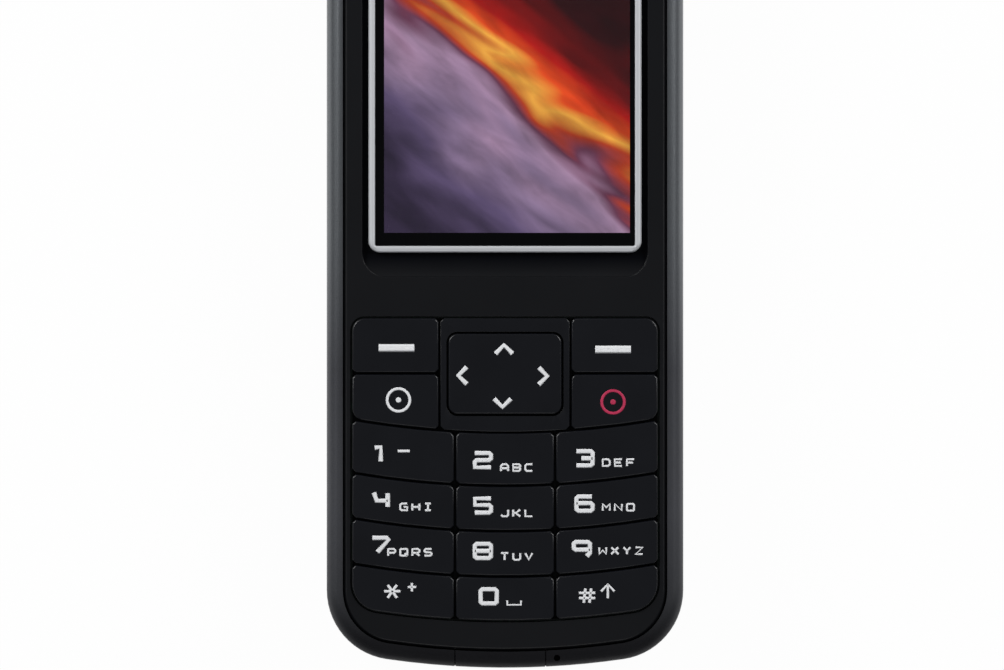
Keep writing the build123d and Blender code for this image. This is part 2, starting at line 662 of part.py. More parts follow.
def front_cover():
    """Black front panel: screen recess with a lower ramp, keypad opening, skirt and six screw posts."""
    panel = layer(outline(COVER_OUTLINE_INSET), COVER_BOTTOM, FRAME_TOP)
    panel = chamfer(edges_at(panel, FRAME_TOP), COVER_EDGE_ROUND)
    panel += ring(COVER_OUTLINE_INSET, COVER_OUTLINE_INSET + SKIRT_WALL, LEDGE_TOP, COVER_BOTTOM)
    for x, y in screw_places():
        panel += stud(x, y, POST_RADIUS, BOARD_TOP, COVER_BOTTOM)
    half_recess = RING_WIDTH / 2 + RECESS_MARGIN
    recess_top = SCREEN_CENTRE_Y + RING_LENGTH / 2 + RECESS_MARGIN
    ramp_top = SCREEN_CENTRE_Y - RING_LENGTH / 2
    recess_bottom = ramp_top - RECESS_RAMP
    rise = RECESS_DEPTH - RECESS_STEP
    side_view = Plane.YZ * Polyline((ramp_top, RECESS_FLOOR), (recess_top + 1, RECESS_FLOOR),
                                    (recess_top + 1, FRAME_TOP + 1), (ramp_top - 2 * RECESS_RAMP, FRAME_TOP + 1),
                                    (ramp_top - 2 * RECESS_RAMP, RECESS_FLOOR + 2 * rise), close=True)
    recess = Pos(-half_recess - 1, 0, 0) * extrude(make_face(side_view), amount=2 * half_recess + 2,
                                                   dir=(1, 0, 0))
    panel -= recess & rounded_plate(0, (recess_top + recess_bottom) / 2, 2 * half_recess,
                                    recess_top - recess_bottom, RECESS_CORNER, COVER_BOTTOM, FRAME_TOP + 1)
    panel -= centred_block(0, SCREEN_CENTRE_Y, VIEW_WIDTH, VIEW_LENGTH, COVER_BOTTOM, FRAME_TOP)
    panel -= layer(pad_region(0), COVER_BOTTOM, FRAME_TOP)
    panel -= rounded_plate(0, EARPIECE_Y, EARPIECE_SLOT, EARPIECE_SLOT_WIDTH, EARPIECE_SLOT_CORNER,
                           COVER_BOTTOM, FRAME_TOP)
    panel -= grille_plate(PART_PLAY, COVER_BOTTOM, COVER_BOTTOM + GRILLE_THICKNESS + PART_PLAY)
    for x, y in screw_places():
        panel -= stud(x, y, PILOT_RADIUS, BOARD_TOP, COVER_BOTTOM + PILOT_ROOF)
    return panel


def grille_plate(grow, low, high):
    """Plate behind the earpiece slot."""
    return rounded_plate(0, EARPIECE_Y, EARPIECE_SLOT + 2 * GRILLE_LAP + 2 * grow,
                         EARPIECE_SLOT_WIDTH + 2 * GRILLE_LAP + 2 * grow, GRILLE_CORNER, low, high)


def earpiece_grille():
    """Small perforated insert seen through the earpiece slot."""
    plate = grille_plate(0, COVER_BOTTOM, COVER_BOTTOM + GRILLE_THICKNESS)
    count = int((EARPIECE_SLOT - GRILLE_SLOT_PITCH) / GRILLE_SLOT_PITCH)
    for index in range(count):
        x = (index - (count - 1) / 2) * GRILLE_SLOT_PITCH
        plate -= centred_block(x, EARPIECE_Y, GRILLE_SLOT_WIDTH, GRILLE_SLOT_LENGTH, COVER_BOTTOM,
                               COVER_BOTTOM + GRILLE_THICKNESS)
    return plate


def earpiece_speaker():
    """Flat oval speaker between the board and the front cover."""
    low = COVER_BOTTOM - PART_PLAY - EARPIECE_HEIGHT
    speaker = centred_block(0, EARPIECE_Y, EARPIECE_LENGTH, EARPIECE_WIDTH, low, COVER_BOTTOM - PART_PLAY)
    return chamfer(speaker.edges().filter_by(Axis.Z), EARPIECE_CORNER)


def display_ring():
    """Bright rim round the screen window, its outer edge sloped."""
    outer = rounded_plate(0, SCREEN_CENTRE_Y, RING_WIDTH, RING_LENGTH, RING_CORNER,
                          RECESS_FLOOR, RECESS_FLOOR + RING_HEIGHT)
    inner = centred_block(0, SCREEN_CENTRE_Y, RING_WIDTH - 2 * RING_RIM, RING_LENGTH - 2 * RING_RIM,
                          RECESS_FLOOR, RECESS_FLOOR + RING_HEIGHT)
    return chamfer(edges_at(outer, RECESS_FLOOR + RING_HEIGHT), RING_EDGE) - inner


def display_window():
    """Clear window inside the rim."""
    play = 2 * (RING_RIM + WINDOW_PLAY)
    return centred_block(0, SCREEN_CENTRE_Y, RING_WIDTH - play, RING_LENGTH - play,
                         RECESS_FLOOR, RECESS_FLOOR + WINDOW_THICKNESS)


BACKLIGHT_BOTTOM = BOARD_TOP + PART_PLAY
GLASS_BOTTOM = BACKLIGHT_BOTTOM + BACKLIGHT_THICKNESS
GLASS_TOP = GLASS_BOTTOM + GLASS_THICKNESS


def lcd_backlight():
    """Light guide and diffuser block under the glass."""
    return centred_block(0, LCD_CENTRE_Y, LCD_WIDTH - 2 * LCD_PLAY, LCD_LENGTH - 2 * LCD_PLAY,
                         BACKLIGHT_BOTTOM, GLASS_BOTTOM)


def lcd_glass():
    """Display glass, lit face forward."""
    return block(-LCD_WIDTH / 2 + LCD_PLAY, LCD_WIDTH / 2 - LCD_PLAY, LCD_CENTRE_Y - LCD_LENGTH / 2 + LCD_PLAY,
                 LCD_CENTRE_Y + LCD_LENGTH / 2 - LCD_PLAY, GLASS_BOTTOM, GLASS_TOP)


def lcd_frame():
    """Pressed tin frame that holds glass and backlight, with a lip over the glass."""
    wall = LCD_FRAME_WALL
    outer = centred_block(0, LCD_CENTRE_Y, LCD_WIDTH + 2 * wall, LCD_LENGTH + 2 * wall,
                          BACKLIGHT_BOTTOM, GLASS_TOP + wall / 2)
    inner = block(-LCD_WIDTH / 2, LCD_WIDTH / 2, LCD_CENTRE_Y - LCD_LENGTH / 2,
                  LCD_CENTRE_Y + LCD_LENGTH / 2, BACKLIGHT_BOTTOM, GLASS_TOP)
    view = block(-LCD_WIDTH / 2 + LCD_FRAME_LIP, LCD_WIDTH / 2 - LCD_FRAME_LIP,
                 LCD_CENTRE_Y - LCD_LENGTH / 2 + LCD_FRAME_LIP, LCD_CENTRE_Y + LCD_LENGTH / 2 - LCD_FRAME_LIP,
                 GLASS_TOP, GLASS_TOP + wall / 2)
    flex_gap = block(-FLEX_WIDTH / 2 - LCD_PLAY, FLEX_WIDTH / 2 + LCD_PLAY,
                     LCD_CENTRE_Y - LCD_LENGTH / 2 - 2 * wall, LCD_CENTRE_Y - LCD_LENGTH / 2,
                     BACKLIGHT_BOTTOM, GLASS_TOP)
    return outer - inner - view - flex_gap


def display_gasket():
    """Foam frame between the display and the front cover."""
    low = GLASS_TOP + LCD_FRAME_WALL / 2
    outer = centred_block(0, SCREEN_CENTRE_Y, VIEW_WIDTH + 2 * GASKET_WIDTH, VIEW_LENGTH + 2 * GASKET_WIDTH,
                          low, COVER_BOTTOM)
    return outer - centred_block(0, SCREEN_CENTRE_Y, VIEW_WIDTH, VIEW_LENGTH, low, COVER_BOTTOM)


def lcd_flex():
    """Flat ribbon from the display's lower edge down to the board."""
    start = LCD_CENTRE_Y - LCD_LENGTH / 2 - PART_PLAY
    high = GLASS_BOTTOM + FLEX_THICKNESS
    low = BOARD_TOP + PART_PLAY + FLEX_THICKNESS / 2
    line = Polyline((start, high), (start - FLEX_REACH / 3, high), (start - FLEX_REACH * 2 / 3, low),
                    (start - FLEX_REACH, low))
    side_view = Plane.YZ * trace(line, line_width=FLEX_THICKNESS)
    return Pos(-FLEX_WIDTH / 2, 0, 0) * extrude(side_view, amount=FLEX_WIDTH, dir=(1, 0, 0))


def main_board():
    """Circuit board on the frame's ledge level, notched round the screw posts."""
    board = layer(outline(BOARD_INSET), BOARD_BOTTOM, BOARD_TOP)
    for x, y in screw_places():
        board -= stud(x, y, NOTCH_RADIUS, BOARD_BOTTOM, BOARD_TOP)
    return board


def bay_block(grow, low, high):
    """Space of the battery, grown by a clearance or a wall."""
    return centred_block(0, BATTERY_CENTRE_Y, BATTERY_WIDTH + 2 * grow, BATTERY_LENGTH + 2 * grow, low, high)


def cover_space(grow):
    """Space of the battery cover, grown by its clearance."""
    slab = block(-BODY_WIDTH, BODY_WIDTH, -BODY_LENGTH, COVER_SPLIT_Y + grow, -1, COVER_RIM_HEIGHT + grow)
    return slab - nested_form(COVER_WALL + grow)


def battery_cover():
    """Sliding back cover: a shell with a raised rim, side hooks and thumb grooves."""
    cover = OUTER_FORM & cover_space(0)
    for side in (1, -1):
        for y in HOOK_CENTRES_Y:
            wall_x = BODY_WIDTH / 2 - COVER_WALL
            hook = block(wall_x - HOOK_REACH, wall_x + COVER_WALL / 2, y - HOOK_LENGTH / 2,
                         y + HOOK_LENGTH / 2, HOOK_LEVEL, HOOK_LEVEL + HOOK_HEIGHT)
            cover += hook if side == 1 else mirror(hook, about=Plane.YZ)
    for index in range(GRIP_COUNT):
        y = COVER_SPLIT_Y - GRIP_FROM_SPLIT - index * GRIP_PITCH
        cover -= centred_block(0, y, GRIP_LENGTH, GRIP_WIDTH, 0, GRIP_DEPTH)
    return cover


def rear_housing():
    """Rear tub: outer wall, deck under the cover, battery bay, screw columns and hook slots."""
    shell = OUTER_FORM & block(-BODY_WIDTH, BODY_WIDTH, -BODY_LENGTH, BODY_LENGTH, 0, PARTING_HEIGHT)
    shell -= cover_space(COVER_PLAY)
    deck_top = DECK_LEVEL + DECK_THICKNESS
    shell -= layer(outline(COVER_WALL + COVER_PLAY + HOUSING_WALL), deck_top, PARTING_HEIGHT)
    upper_low = COVER_SPLIT_Y + COVER_PLAY + HOUSING_WALL
    shell -= layer(outline(BACK_ROUND), REAR_SKIN, deck_top) & block(
        -BODY_WIDTH, BODY_WIDTH, upper_low, BODY_LENGTH, REAR_SKIN, deck_top)
    shell += bay_block(BATTERY_PLAY + BAY_WALL, DECK_LEVEL, BAY_TOP)
    shell -= bay_block(BATTERY_PLAY, 0, BAY_FLOOR_BOTTOM)
    for x, y in screw_places():
        column = stud(x, y, COLUMN_RADIUS, 0, COLUMN_TOP) & layer(outline(BAND_WALL + PART_PLAY), 0, COLUMN_TOP)
        column &= OUTER_FORM
        shell += column - cover_space(COVER_PLAY)
        shell -= stud(x, y, SCREW_RADIUS + SCREW_CLEARANCE, 0, COLUMN_TOP)
        shell -= stud(x, y, COUNTERBORE_RADIUS, 0, COUNTERBORE_DEPTH)
    for side in (1, -1):
        for y in HOOK_CENTRES_Y:
            shell -= hook_slot(side, y)
    shell -= sim_window()
    shell -= block(-CONTACT_WIDTH / 2 - PART_PLAY, CONTACT_WIDTH / 2 + PART_PLAY, bay_end(),
                   bay_end() + BAY_WALL + PART_PLAY, contact_low() - PART_PLAY, BAY_TOP)
    shell -= post(CAMERA_X, CAMERA_Y, CAMERA_WINDOW_RADIUS + PART_PLAY, 0,
                  CAMERA_BEZEL + CAMERA_WINDOW_THICKNESS)
    shell -= post(CAMERA_X, CAMERA_Y, CAMERA_OPENING_RADIUS, 0, REAR_SKIN)
    for index in range(SPEAKER_SLOTS):
        x = SPEAKER_X + (index - (SPEAKER_SLOTS - 1) / 2) * SPEAKER_SLOT_PITCH
        shell -= centred_block(x, SPEAKER_Y, SPEAKER_SLOT_WIDTH, SPEAKER_SLOT_LENGTH, 0, REAR_SKIN)
    return shell


def hook_slot(side, y):
    """Slot that a cover hook slides along, with a gate at its lower end where the cover lifts off."""
    wall_x = BODY_WIDTH / 2 - COVER_WALL
    inner = wall_x - HOOK_REACH - HOOK_PLAY
    outer = wall_x + COVER_WALL
    track = block(inner, outer, y - HOOK_LENGTH / 2 - COVER_STROKE - HOOK_PLAY,
                  y + HOOK_LENGTH / 2 + HOOK_PLAY, HOOK_LEVEL - HOOK_PLAY, HOOK_LEVEL + HOOK_HEIGHT + HOOK_PLAY)
    gate = block(inner, outer, y - HOOK_LENGTH / 2 - COVER_STROKE - HOOK_PLAY,
                 y + HOOK_LENGTH / 2 - COVER_STROKE + HOOK_PLAY, 0, HOOK_LEVEL)
    slot = track + gate
    return slot if side == 1 else mirror(slot, about=Plane.YZ)


def sim_window():
    """Window in the bay's floor over the card holder."""
    return centred_block(0, SIM_Y, SIM_LENGTH + 2 * SIM_WINDOW_MARGIN, SIM_WIDTH + 2 * SIM_WINDOW_MARGIN,
                         BAY_FLOOR_BOTTOM, BAY_TOP)


def bay_end():
    """Upper end wall of the battery bay."""
    return BATTERY_TOP + BATTERY_PLAY


def battery():
    """Flat battery pack with softened edges and recessed contact pads."""
    pack = bay_block(0, BATTERY_LEVEL, BATTERY_LEVEL + BATTERY_THICKNESS)
    pack = chamfer(pack.edges(), BATTERY_EDGE)
    for pad in contact_pad_blocks():
        pack -= pad
    return pack


def contact_low():
    """Lowest point of the contact block."""
    return BATTERY_LEVEL + BATTERY_THICKNESS / 2 - CONTACT_BLOCK_REACH


def contact_columns():
    """X of the three battery contacts."""
    return [index * CONTACT_PITCH for index in (-1, 0, 1)]


def contact_pad_blocks():
    """Gold pads let into the battery's upper end."""
    end = BATTERY_TOP
    middle = BATTERY_LEVEL + BATTERY_THICKNESS / 2
    size = CONTACT_PIN_SIZE
    return [block(x - size, x + size, end - CONTACT_PAD_DEPTH, end, middle - size, middle + size)
            for x in contact_columns()]


def battery_pads():
    """The pads as one group."""
    return Compound(children=contact_pad_blocks())


def battery_contacts():
    """Contact block behind the bay's end wall, with three sprung pins."""
    start = bay_end() + PART_PLAY
    body = block(-CONTACT_WIDTH / 2, CONTACT_WIDTH / 2, start, start + CONTACT_DEPTH, contact_low(), COLUMN_TOP)
    middle = BATTERY_LEVEL + BATTERY_THICKNESS / 2
    half = CONTACT_PIN_SIZE / 2
    for x in contact_columns():
        body += block(x - half, x + half, start - CONTACT_PIN_REACH, start, middle - half, middle + half)
    return body


def sim_holder():
    """Pressed holder for the subscriber card, open towards the battery."""
    low = BOARD_BOTTOM - PART_PLAY - SIM_HOLDER_HEIGHT
    wall = SIM_HOLDER_WALL
    outer = centred_block(0, SIM_Y, SIM_LENGTH + 2 * wall, SIM_WIDTH + 2 * wall, low, BOARD_BOTTOM - PART_PLAY)
    pocket = centred_block(0, SIM_Y, SIM_LENGTH + 2 * PART_PLAY, SIM_WIDTH + 2 * PART_PLAY, low + wall,
                           low + wall + SIM_THICKNESS + 2 * PART_PLAY)
    reach = centred_block(0, SIM_Y, SIM_LENGTH - 2 * SIM_HOLDER_SIDE, SIM_WIDTH / 2, low, low + wall)
    return outer - pocket - reach


def sim_card():
    """Subscriber card with its cut corner."""
    low = BOARD_BOTTOM - SIM_HOLDER_HEIGHT + SIM_HOLDER_WALL
    half_x = SIM_LENGTH / 2
    half_y = SIM_WIDTH / 2
    shape = Polyline((-half_x, -half_y), (half_x - SIM_CHAMFER, -half_y), (half_x, -half_y + SIM_CHAMFER),
                     (half_x, half_y), (-half_x, half_y), close=True)
    return layer(Pos(0, SIM_Y) * make_face(shape), low, low + SIM_THICKNESS)


def shield_cans():
    """Pressed tin cans over the radio and the processor."""
    high = BOARD_BOTTOM - PART_PLAY
    low = high - SHIELD_HEIGHT
    cans = []
    for y in SHIELD_CENTRES_Y:
        outer = centred_block(0, y, SHIELD_WIDTH, SHIELD_LENGTH, low, high)
        inner = centred_block(0, y, SHIELD_WIDTH - 2 * SHIELD_WALL, SHIELD_LENGTH - 2 * SHIELD_WALL,
                              low + SHIELD_WALL, high)
        cans.append(outer - inner)
    return Compound(children=cans)


def port_connector():
    """Flat connector shell with its tongue, hanging under the board's lower edge."""
    x, y, z = connector_centre()
    shell = Pos(x, y, z) * Box(CONNECTOR_WIDTH, CONNECTOR_DEPTH, CONNECTOR_HEIGHT)
    wall = CONNECTOR_WALL
    hollow = Pos(x, y - wall, z) * Box(CONNECTOR_WIDTH - 2 * wall, CONNECTOR_DEPTH, CONNECTOR_HEIGHT - 2 * wall)
    tongue = Pos(x, y, z) * Box(CONNECTOR_WIDTH - 6 * wall, CONNECTOR_DEPTH - 2 * wall, wall)
    return shell - hollow + tongue


def microphone():
    """Small round microphone on the board behind its hole."""
    y = -BODY_LENGTH / 2 + COVER_OUTLINE_INSET + SKIRT_WALL + MIC_RADIUS + MIC_SETBACK
    return stud(MIC_X, y, MIC_RADIUS, BOARD_TOP, BOARD_TOP + MIC_HEIGHT)


def camera_window():
    """Clear disc over the camera, let into the back."""
    return post(CAMERA_X, CAMERA_Y, CAMERA_WINDOW_RADIUS, CAMERA_BEZEL, CAMERA_BEZEL + CAMERA_WINDOW_THICKNESS)


def camera_module():
    """Camera block with its lens barrel facing the back."""
    body = block(CAMERA_X - CAMERA_SIZE / 2, CAMERA_X + CAMERA_SIZE / 2, CAMERA_Y - CAMERA_SIZE / 2,
                 CAMERA_Y + CAMERA_SIZE / 2, REAR_SKIN + PART_PLAY, COLUMN_TOP)
    lens = post(CAMERA_X, CAMERA_Y, CAMERA_LENS_RADIUS, REAR_SKIN - CAMERA_LENS_REACH, REAR_SKIN + PART_PLAY)
    return body + lens


def loudspeaker():
    """Oblong loudspeaker behind the slots."""
    low = REAR_SKIN + PART_PLAY
    speaker = centred_block(SPEAKER_X, SPEAKER_Y, SPEAKER_WIDTH, SPEAKER_LENGTH, low, low + SPEAKER_HEIGHT)
    return chamfer(speaker.edges().filter_by(Axis.Z), SPEAKER_CORNER)


def motor_axis_z():
    """Height of the vibration motor's shaft."""
    return REAR_SKIN + PART_PLAY + MOTOR_RADIUS


def vibration_motor():
    """Small round motor can with its shaft bore."""
    can = Pos(MOTOR_X, MOTOR_Y, motor_axis_z()) * Rot(90, 0, 0) * Cylinder(MOTOR_RADIUS, MOTOR_LENGTH)
    bore = Pos(MOTOR_X, MOTOR_Y + MOTOR_LENGTH / 2, motor_axis_z()) * Rot(90, 0, 0) * Cylinder(
        MOTOR_SHAFT_RADIUS + MOTOR_SHAFT_PLAY, MOTOR_LENGTH)
    return can - bore


def vibration_weight():
    """Half-round weight on its shaft."""
    start = MOTOR_Y + MOTOR_LENGTH / 2 + WEIGHT_GAP
    half_disc = Pos(MOTOR_X, start + WEIGHT_LENGTH / 2, motor_axis_z()) * Rot(90, 0, 0) * Cylinder(
        WEIGHT_RADIUS, WEIGHT_LENGTH)
    half_disc -= block(MOTOR_X - WEIGHT_RADIUS, MOTOR_X + WEIGHT_RADIUS, start, start + WEIGHT_LENGTH,
                       motor_axis_z(), motor_axis_z() + WEIGHT_RADIUS)
    shaft_length = MOTOR_LENGTH / 2 - SHAFT_END_GAP + WEIGHT_GAP + WEIGHT_LENGTH
    shaft = Pos(MOTOR_X, start + WEIGHT_LENGTH - shaft_length / 2, motor_axis_z()) * Rot(90, 0, 0) * Cylinder(
        MOTOR_SHAFT_RADIUS, shaft_length)
    return half_disc + shaft


def antenna_carrier():
    """Plastic carrier that lifts the antenna foil off the board."""
    high = COLUMN_TOP
    low = high - ANTENNA_HEIGHT
    outer = centred_block(0, ANTENNA_Y, ANTENNA_LENGTH, ANTENNA_WIDTH, low, high)
    wall = ANTENNA_WALL
    hollow = centred_block(0, ANTENNA_Y, ANTENNA_LENGTH - 2 * wall, ANTENNA_WIDTH - 2 * wall, low + wall, high)
    return outer - hollow


def antenna_foil():
    """Folded metal antenna on the carrier, cut into a meander."""
    high = COLUMN_TOP - ANTENNA_HEIGHT - PART_PLAY / 2
    low = high - ANTENNA_FOIL
    foil_length = ANTENNA_LENGTH - 2 * FOIL_END_MARGIN
    foil_width = ANTENNA_WIDTH - 2 * FOIL_SIDE_MARGIN
    foil = centred_block(0, ANTENNA_Y, foil_length, foil_width, low, high)
    for index in range(FOIL_CUTS):
        x = (index - (FOIL_CUTS - 1) / 2) * foil_length / FOIL_CUTS
        shift = FOIL_TRACE if index % 2 else -FOIL_TRACE
        foil -= centred_block(x, ANTENNA_Y + shift, FOIL_CUT_WIDTH, foil_width, low, high)
    return foil


def housing_screws():
    """Six screws from the back into the front cover's posts."""
    screws = []
    tip = COVER_BOTTOM + PILOT_ROOF - SCREW_END_GAP
    for x, y in screw_places():
        head = stud(x, y, SCREW_HEAD_RADIUS, COUNTERBORE_DEPTH - SCREW_HEAD_HEIGHT, COUNTERBORE_DEPTH)
        screws.append(head + stud(x, y, SCREW_RADIUS, COUNTERBORE_DEPTH, tip))
    return Compound(children=screws)


def all_parts():
    """Every piece under its own name."""
    parts = {
        "front_cover": front_cover(),
        "side_frame": side_frame(),
        "rear_housing": rear_housing(),
        "battery_cover": battery_cover(),
        "port_cover": port_cover(),
        "display_window": display_window(),
        "display_ring": display_ring(),
        "display_gasket": display_gasket(),
        "lcd_glass": lcd_glass(),
        "lcd_backlight": lcd_backlight(),
        "lcd_frame": lcd_frame(),
        "lcd_flex": lcd_flex(),
        "earpiece_grille": earpiece_grille(),
        "earpiece_speaker": earpiece_speaker(),
        "nav_bezel": nav_bezel(),
        "nav_rocker_base": nav_rocker_base(),
        "nav_key": nav_key(),
        "key_mat": key_mat(),
        "dome_sheet": dome_sheet(),
        "main_board": main_board(),
        "battery": battery(),
        "battery_pads": battery_pads(),
        "battery_contacts": battery_contacts(),
        "sim_holder": sim_holder(),
        "sim_card": sim_card(),
        "shield_cans": shield_cans(),
        "port_connector": port_connector(),
        "microphone": microphone(),
        "camera_window": camera_window(),
        "camera_module": camera_module(),
        "loudspeaker": loudspeaker(),
        "vibration_motor": vibration_motor(),
        "vibration_weight": vibration_weight(),
        "antenna_carrier": antenna_carrier(),
        "antenna_foil": antenna_foil(),
        "housing_screws": housing_screws(),
    }
    names = ["key_1", "key_2", "key_3", "key_4", "key_5", "key_6", "key_7", "key_8", "key_9",
             "key_star", "key_0", "key_hash"]
    for name, face in zip(names, number_faces()):
        parts[name] = key_cap(face)
    for name, face in function_faces().items():
        parts[name] = key_cap(face)
    return parts


os.makedirs("parts", exist_ok=True)
for part_name, shape in all_parts().items():
    export_step(shape, "parts/" + part_name + ".step")
    print(part_name, round(shape.volume, 3), len(shape.solids()))
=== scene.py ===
# %% [markdown]
# A plain bar-shaped mobile phone, finished in Blender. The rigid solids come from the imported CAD
# model, and this file gives them softened edges, printed legends and materials. Everything is in
# metres: the phone lies on its back, +Z comes out of the screen and +Y runs to the earpiece.

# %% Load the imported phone
import json
import math

import bpy
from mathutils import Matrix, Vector

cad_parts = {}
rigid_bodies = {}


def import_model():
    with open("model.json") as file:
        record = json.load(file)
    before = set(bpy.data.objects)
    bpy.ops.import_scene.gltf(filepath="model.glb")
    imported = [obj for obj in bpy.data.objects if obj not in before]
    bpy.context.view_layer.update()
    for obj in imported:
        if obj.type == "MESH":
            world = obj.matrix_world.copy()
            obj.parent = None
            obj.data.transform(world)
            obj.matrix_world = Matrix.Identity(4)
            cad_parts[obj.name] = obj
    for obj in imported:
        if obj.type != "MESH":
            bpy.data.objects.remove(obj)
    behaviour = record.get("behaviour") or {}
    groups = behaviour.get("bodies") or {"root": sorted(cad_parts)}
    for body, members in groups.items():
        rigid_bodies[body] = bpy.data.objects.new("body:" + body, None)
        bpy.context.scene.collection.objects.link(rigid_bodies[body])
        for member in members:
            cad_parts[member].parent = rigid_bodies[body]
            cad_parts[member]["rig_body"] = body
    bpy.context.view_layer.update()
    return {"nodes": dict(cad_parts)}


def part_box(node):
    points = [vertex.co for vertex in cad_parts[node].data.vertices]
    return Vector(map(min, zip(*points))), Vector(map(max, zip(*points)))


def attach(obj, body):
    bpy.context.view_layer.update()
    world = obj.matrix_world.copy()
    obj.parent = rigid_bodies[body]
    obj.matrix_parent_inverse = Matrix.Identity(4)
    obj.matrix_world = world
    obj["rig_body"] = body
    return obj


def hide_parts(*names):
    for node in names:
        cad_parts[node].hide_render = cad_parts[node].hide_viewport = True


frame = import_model()
MM = 0.001

# %% [markdown]
# The photograph looks straight down on the phone. It is 1004 dots wide, and the lit display gives
# 0.1289 mm for a dot, so the camera's view is 129.4 mm wide at the front cover. A long lens from
# 2 m keeps the sides parallel, as they are in the photograph.

# %% Camera
DOT = 0.1289 * MM
FRAME_DOTS = 1004
PHONE_MIDDLE_DOT = 505
BOTTOM_EDGE_DOT = 668
BOTTOM_EDGE_Y = -54.5 * MM
FRONT_Z = 13.2 * MM
CAMERA_HEIGHT = 2.0
SENSOR_WIDTH = 36
VIEW_MIDDLE = (502, 335)


def at_dot(x, y):
    """Place on the phone of a dot in the photograph."""
    return (x - PHONE_MIDDLE_DOT) * DOT, (BOTTOM_EDGE_DOT - y) * DOT + BOTTOM_EDGE_Y


camera_x, camera_y = at_dot(*VIEW_MIDDLE)
bpy.ops.object.camera_add(location=(camera_x, camera_y, CAMERA_HEIGHT), rotation=(0, 0, 0))
camera = bpy.context.object
camera.name = "camera"
camera.data.sensor_width = SENSOR_WIDTH
camera.data.lens = SENSOR_WIDTH * (CAMERA_HEIGHT - FRONT_Z) / (FRAME_DOTS * DOT)
camera.data.dof.use_dof = False
bpy.context.scene.camera = camera
print("camera lens", round(camera.data.lens, 1), "mm")

# %% [markdown]
# Materials are built from nodes. Colours are written as they are read off a screen, in sRGB hex,
# and one function turns them to the linear values that Blender computes with. Another adds a node,
# sets it and links it, and every material below is made with these two, so that each reads as a
# list of its nodes from the place on the piece to the surface.

# %% Colours
def linear(hex_colour):
    """Linear RGBA of an opaque sRGB hex colour, by the sRGB standard's own curve."""
    values = []
    for start in (1, 3, 5):
        level = int(hex_colour[start:start + 2], 16) / 255
        values.append(level / 12.92 if level <= 0.04045 else ((level + 0.055) / 1.055) ** 2.4)
    return (*values, 1.0)


print("middle grey in linear values", [round(value, 3) for value in linear("#808080")])

# %% Nodes
def add(tree, kind, inputs=None, **settings):
    """Adds a node, with its settings, and with each input set or linked."""
    node = tree.nodes.new(kind)
    for name, value in settings.items():
        setattr(node, name, value)
    for name, value in (inputs or {}).items():
        if isinstance(value, bpy.types.NodeSocket):
            tree.links.new(value, node.inputs[name])
        else:
            node.inputs[name].default_value = value
    return node


def empty_material(name):
    """New material with an empty node tree."""
    material = bpy.data.materials.new(name)
    material.use_nodes = True
    material.node_tree.nodes.clear()
    return material, material.node_tree


print("materials before the first", len(bpy.data.materials))

# %% [markdown]
# Most of the phone is moulded plastic or metal with the same three layers of detail: a base colour
# that drifts a little over some millimetres, a roughness that drifts too, and a fine grain from the
# mould or the paint that only bends the light. A flat colour would look like a drawing, and a photo
# of a surface wouldn't follow the shape, so noise with sizes in millimetres gives all three.

# %% Front panel's finish, and the function for all such finishes
def finish(name, colour, drift_colour, drift_mm, roughness, roughness_drift, grain_mm, grain_height_mm,
           metallic=0.0, coat=0.0, sheen=0.0):
    """Principled material with drifting colour and roughness, and a fine grain."""
    material, tree = empty_material(name)
    place = add(tree, "ShaderNodeTexCoord").outputs["Object"]
    drift = add(tree, "ShaderNodeTexNoise", {"Vector": place, "Scale": 1 / (drift_mm * MM), "Detail": 3.0})
    mixed = add(tree, "ShaderNodeMix", {"Factor": drift.outputs["Fac"], "A": linear(colour),
                                        "B": linear(drift_colour)}, data_type="RGBA")
    rough = add(tree, "ShaderNodeMapRange", {
        "Value": drift.outputs["Fac"], "To Min": roughness - roughness_drift,
        "To Max": roughness + roughness_drift})
    grain = add(tree, "ShaderNodeTexNoise", {"Vector": place, "Scale": 1 / (grain_mm * MM), "Detail": 2.0})
    bump = add(tree, "ShaderNodeBump", {"Height": grain.outputs["Fac"], "Distance": grain_height_mm * MM,
                                        "Strength": 1.0})
    shader = add(tree, "ShaderNodeBsdfPrincipled", {
        "Base Color": mixed.outputs["Result"], "Roughness": rough.outputs["Result"],
        "Normal": bump.outputs["Normal"], "Metallic": metallic, "Coat Weight": coat, "Sheen Weight": sheen})
    add(tree, "ShaderNodeOutputMaterial", {"Surface": shader.outputs["BSDF"]})
    return material


# Front panel: ABS with sprayed satin black paint, almost flat, with the slight orange peel of spray
satin_black = finish("satin_black_paint", "#06070a", "#090a0e", 14, 0.36, 0.03, 0.5, 0.004)
print("made", satin_black.name)

# %% Other outer finishes
# Back: black ABS from a spark-eroded mould. Its grit is real at some 0.05 mm and drawn at 0.18 mm to
# show, and it makes the back matt
grit_black = finish("spark_eroded_black", "#101113", "#15161a", 11, 0.55, 0.05, 0.18, 0.02)
# Keys: moulded polycarbonate, painted black and hard-coated, so they shine softly
key_black = finish("satin_key_coat", "#08090e", "#0b0d13", 6, 0.30, 0.03, 0.4, 0.002)
# Rim of the window: silver paint on ABS, pale and satin, its flakes too fine to see one by one
bright_rim = finish("silver_painted_rim", "#e2e4e7", "#d8dadd", 4, 0.40, 0.03, 0.06, 0.002, metallic=0.3)
print("outer finishes", len(bpy.data.materials))

# %% Inner finishes
# Pressed steel with tin plate, on the inner metal parts: a pale metal with soft reflections
tin_plate = finish("tin_plate", "#a8a9a6", "#b9bab7", 3, 0.34, 0.06, 0.1, 0.003, metallic=1.0)
# Blackened steel of screws and the vibration weight: a dark metal that still mirrors the lamps
black_steel = finish("blackened_steel", "#3b3c3f", "#4a4b4e", 2, 0.4, 0.06, 0.08, 0.004, metallic=1.0)
